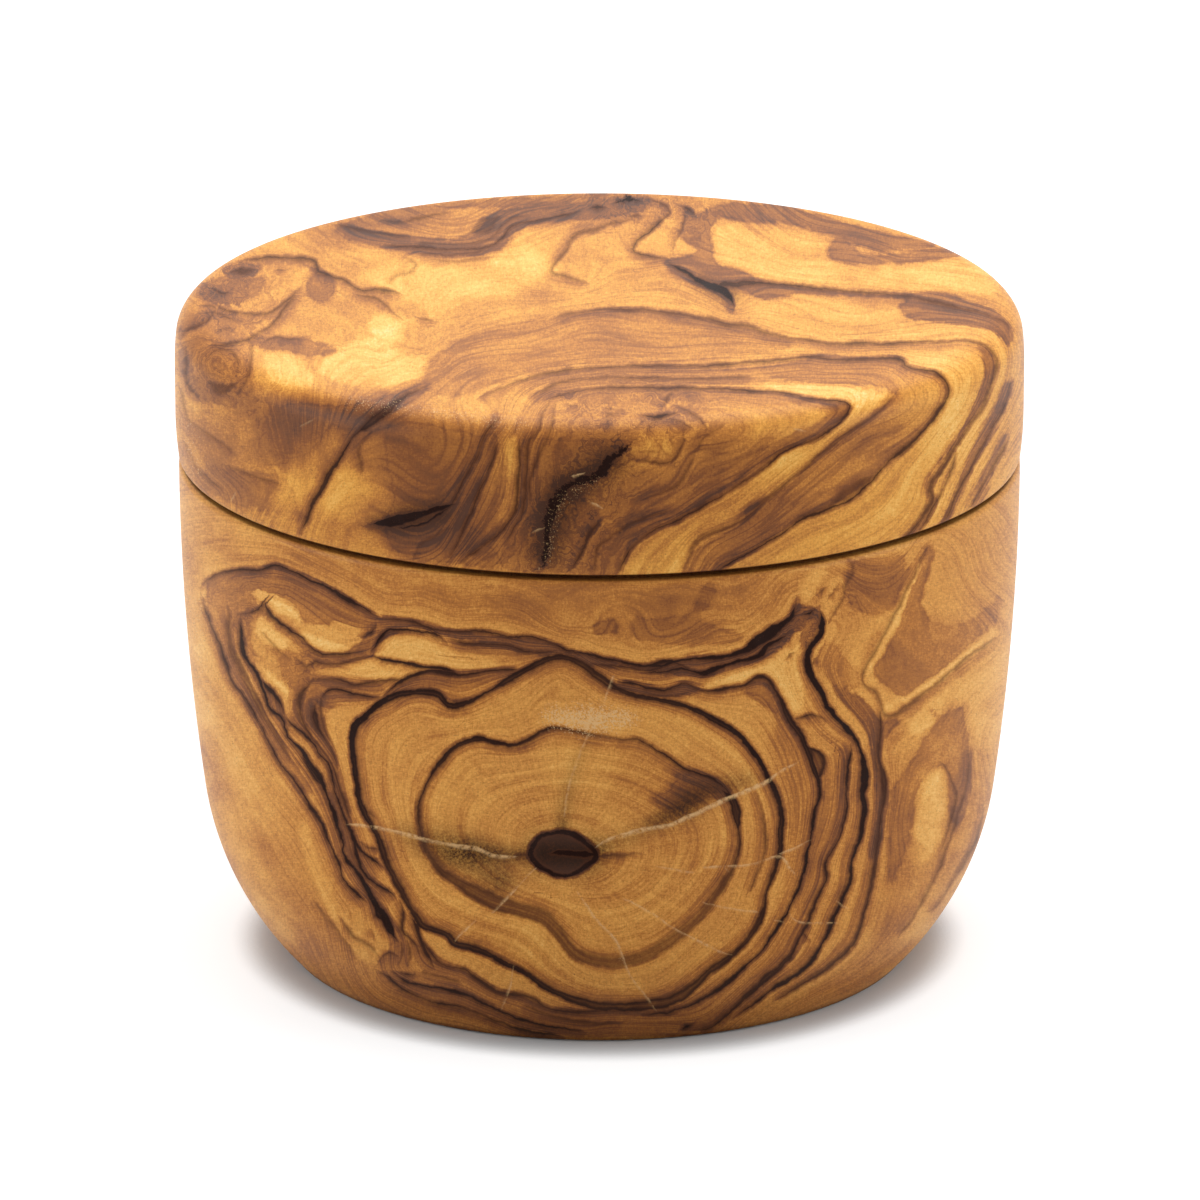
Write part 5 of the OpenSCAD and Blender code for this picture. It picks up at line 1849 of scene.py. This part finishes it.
@dataclass
class Lid(Turned):
    """The thick turned lid, whose sizes down to magnet_t are those of the CAD model, in mm."""

    name: str = "turned_lid"
    base_z: float = 61.0
    radius: float = 50.0
    height: float = 18.0
    top_round: float = 3.8
    shoulder_h: float = 3.5
    shoulder_in: float = 0.2
    skirt_h: float = 5.4
    skirt_in: float = 0.35
    bevel: float = 0.25
    pivot_y: float = 44.85
    pin_d: float = 4.0
    pin_l: float = 12.0
    magnet_d: float = 6.0
    magnet_t: float = 3.0
    side_step: float = 0.5
    round_step: float = 0.35
    top_step: float = 0.7
    under_step: float = 2.5
    drift_px: float = 60.0
    drift_over: float = 30.0
    sight_step: float = 0.5
    sight_end: float = 100.0

    def outside(self) -> list[tuple[float, float]]:
        """The half section from the underside's edge up to the flat of the top."""
        skirt_r = arc_radius(self.skirt_h, self.skirt_in)
        shoulder_r = arc_radius(self.shoulder_h, self.shoulder_in)
        shoulder_a = math.asin(self.shoulder_h / shoulder_r)
        shoulder_z = self.height - self.top_round * (1 - math.sin(shoulder_a)) - self.shoulder_h
        round_c = (
            self.radius - self.shoulder_in - self.top_round * math.cos(shoulder_a),
            self.height - self.top_round,
        )
        skirt_a = math.degrees(math.asin((self.skirt_h - self.bevel) / skirt_r))
        low = self.radius - self.skirt_in
        skirt = arc((self.radius - skirt_r, self.skirt_h), skirt_r, -skirt_a, 0, self.side_step)
        shoulder = arc((self.radius - shoulder_r, shoulder_z), shoulder_r, 0,
                       math.degrees(shoulder_a), self.side_step)
        top = arc(round_c, self.top_round, math.degrees(shoulder_a), 90, self.round_step)
        edge = [(low - self.bevel, 0.0), (low - 0.35 * self.bevel, 0.35 * self.bevel)]
        section = [*edge, *skirt, *line(skirt[-1], shoulder[0], self.side_step), *shoulder, *top[1:]]
        return [(r, z + self.base_z) for r, z in section]

    def runs(self) -> list[Run]:
        """The half section: from the axis across the underside, up the side and over the top."""
        outside = self.outside()
        under, top = (0.0, self.base_z), (0.0, self.base_z + self.height)
        below = [under, *line(under, outside[0], self.under_step)]
        return [
            Run(below, ((0.66, 0.34, 1.0, 0.98),), self.radius),
            Run(outside, ((0.0, 0.17, 1.0, 0.34), (0.0, 0.0, 1.0, 0.17))),
            Run([*line(outside[-1], top, self.top_step), top], ((0.0, 0.34, 0.66, 1.0),), self.radius),
        ]

    def blocks(self, at: np.ndarray) -> tuple[np.ndarray, np.ndarray]:
        """Where the figure is read for each vertex.

        The fibres run along the photograph's line of sight, down through the top. The figure
        wanders with the way that this line has run inside the lid.

        Args:
            at: The vertices in mm.

        Returns:
            The pixels of the figure, and the places in the block in mm.
        """
        outside = np.array(self.outside())
        tilt = math.radians(PHOTO.elevation)
        inside = np.zeros(len(at))
        going = np.ones(len(at), bool)
        top = self.base_z + self.height
        for step in np.arange(self.sight_step, self.sight_end, self.sight_step):
            y, z = at[:, 1] - step * math.cos(tilt), at[:, 2] + step * math.sin(tilt)
            reach = np.interp(z, outside[:, 1], outside[:, 0])
            going &= (np.hypot(at[:, 0], y) < reach) & (z < top) & (z > self.base_z)
            inside[going] = step
        pixels, depth = PHOTO.pixels(at)
        block = PHOTO.block(pixels, depth)
        drift = self.drift_px * (1 - np.exp(-((inside / self.drift_over) ** 2)))
        pixels = pixels + drift[:, None] * np.column_stack([wander(block, 0.4), wander(block, 2.6)])
        return pixels, PHOTO.block(pixels, depth)

    def painted_edge_shade(self, at: np.ndarray) -> np.ndarray:
        """The painted shade at each vertex, in the seam along the lid's lower edge."""
        low = ((self.base_z + 0.2 - at[:, 2]) / 0.12).clip(0, 1)
        return low * ((np.hypot(at[:, 0], at[:, 1]) - self.radius + 1.8) / 0.6).clip(0, 1)

    def build(self) -> bpy.types.Object:
        """Turns, drills and dresses the lid."""
        piece = self.spin(self.runs())
        for y, diameter, depth in (
            (self.pivot_y, self.pin_d, self.pin_l), (-self.pivot_y, self.magnet_d, self.magnet_t),
        ):
            self.bore(piece, (0, y, self.base_z + depth), diameter, -depth - self.past)
        self.smooth(piece)
        wood = OliveWood("lid_olive_wood", Grain.LONG, ink=1.0, least_line=0.12, spread=0.85,
                         gold_pale=Paint(242, 188, 98), gold=Paint(224, 158, 68))
        figure = Figure(LID_VEINS, LID_SCARS, LID_TONES, LID_SMUDGES, LID_SCUFFS_AND_SHEEN,
                        LID_BROWNS, LID_GOLDS, LID_CURLS, LID_CALM, LID_MARKS)
        places = self.places(piece)
        figure.dress(piece, *self.blocks(places), self.painted_edge_shade(places), wood)
        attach(piece, "lid_body")
        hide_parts("lid")
        return piece


@dataclass(frozen=True)
class Pivot:
    """The metal parts, which keep their CAD solids."""

    steel: Metal = Metal("turned_steel", Paint(206, 207, 210), 0.28, 3000.0)
    brass: Metal = Metal("turned_brass", Paint(222, 186, 110), 0.3, 2600.0)
    nickel: Metal = Metal("plated_magnet", Paint(158, 158, 160), 0.34, 200.0)

    def dress(self, nodes: dict[str, bpy.types.Object]) -> None:
        """Gives each metal node its material."""
        worn_by = {
            self.steel: ("pivot_pin", "pivot_washer"),
            self.brass: ("pivot_sleeve",),
            self.nickel: ("bowl_magnet", "lid_magnet"),
        }
        for metal, names in worn_by.items():
            material = metal.material()
            for name in names:
                nodes[name].data.materials.clear()
                nodes[name].data.materials.append(material)
                LOG.info("%s wears %s", name, metal.name)


# The studio


@dataclass(frozen=True)
class Softbox:
    """A square studio lamp that aims at the middle of the box. Lengths are in metres."""

    name: str
    place: tuple[float, float, float]
    size: float
    power: float
    aim: tuple[float, float, float] = (0.0, 0.0, 0.04)

    def light(self) -> None:
        """Hangs the lamp."""
        data = bpy.data.lights.new(self.name, "AREA")
        data.shape = "SQUARE"
        data.size = self.size
        data.energy = self.power
        lamp = bpy.data.objects.new(self.name, data)
        bpy.context.scene.collection.objects.link(lamp)
        lamp.location = self.place
        way = Vector(self.aim) - Vector(self.place)
        lamp.rotation_euler = way.to_track_quat("-Z", "Y").to_euler()


@dataclass(frozen=True)
class Studio:
    """The pale floor, which glows a little except in the box's closest shade, the soft light
    and the white round about."""

    lamps: tuple[Softbox, ...] = (
        Softbox("top_box", (0.05, 0.3, 0.85), 0.8, 7.4),
        Softbox("left_box", (-0.9, -0.2, 0.35), 0.6, 3.3),
        Softbox("right_box", (0.9, -0.2, 0.35), 0.6, 3.0),
    )
    floor_half: float = 4.0
    floor_drop: float = 0.00002
    world_light: float = 0.53
    floor_glow: float = 0.6
    floor_paint: Paint = Paint(206, 206, 206)
    white: Paint = Paint(255, 255, 255)
    shade_reach: float = 0.0055
    shade_range: tuple[float, float] = (0.3, 1.0)

    def seen_white(self, graph: Graph) -> Signal:
        """One for rays that show the surroundings white: those of camera, gloss and glass."""
        paths = graph.node("ShaderNodeLightPath", {}, {}, "Is Camera Ray")
        outputs = paths.socket.node.outputs
        glossy = Signal(graph, outputs["Is Glossy Ray"])
        through = Signal(graph, outputs["Is Transmission Ray"])
        return paths.most(glossy).most(through)

    def build(self) -> None:
        """Lays the floor, hangs the lamps and sets the world."""
        floor = self._floor()
        for lamp in self.lamps:
            lamp.light()
        world = bpy.data.worlds.new("white_room")
        bpy.context.scene.world = world
        graph = Graph(world)
        strength = self.seen_white(graph) * (1 - self.world_light) + self.world_light
        sky = graph.node("ShaderNodeBackground", {}, {"Color": (1, 1, 1, 1), "Strength": strength})
        graph.finish(sky, "ShaderNodeOutputWorld")
        bpy.context.scene.view_settings.view_transform = "Standard"

    def _floor(self) -> bpy.types.Object:
        """The floor, which shows its shadow against white."""
        mesh = bmesh.new()
        bmesh.ops.create_grid(mesh, x_segments=8, y_segments=8, size=self.floor_half)
        data = bpy.data.meshes.new("studio_floor")
        mesh.to_mesh(data)
        mesh.free()
        floor = bpy.data.objects.new("studio_floor", data)
        floor.location = (0, 0, -self.floor_drop)
        bpy.context.scene.collection.objects.link(floor)
        graph = Graph(bpy.data.materials.new("pale_floor"))
        matt = graph.node(
            "ShaderNodeBsdfDiffuse", {}, {"Color": self.floor_paint.linear, "Roughness": 1.0}
        )
        clear = graph.node(
            "ShaderNodeAmbientOcclusion", {"samples": 8}, {"Distance": self.shade_reach}, "AO"
        )
        glow = graph.node(
            "ShaderNodeEmission", {},
            {"Color": graph.mix(clear.eased(*self.shade_range), Paint(0, 0, 0), self.white),
             "Strength": self.seen_white(graph) * self.floor_glow},
        )
        both = graph.node("ShaderNodeAddShader", {}, {0: matt, 1: glow})
        data.materials.append(graph.finish(both))
        return floor


def main() -> None:
    """Builds the box and its studio in order."""
    logging.basicConfig(level=logging.INFO, format="%(message)s")
    PHOTO.place()
    Studio().build()
    for assembly in (Bowl(), Lid()):
        piece = assembly.build()
        LOG.info("%s: %d faces", piece.name, len(piece.data.polygons))
    Pivot().dress(frame["nodes"])


if __name__ == "__main__":
    main()
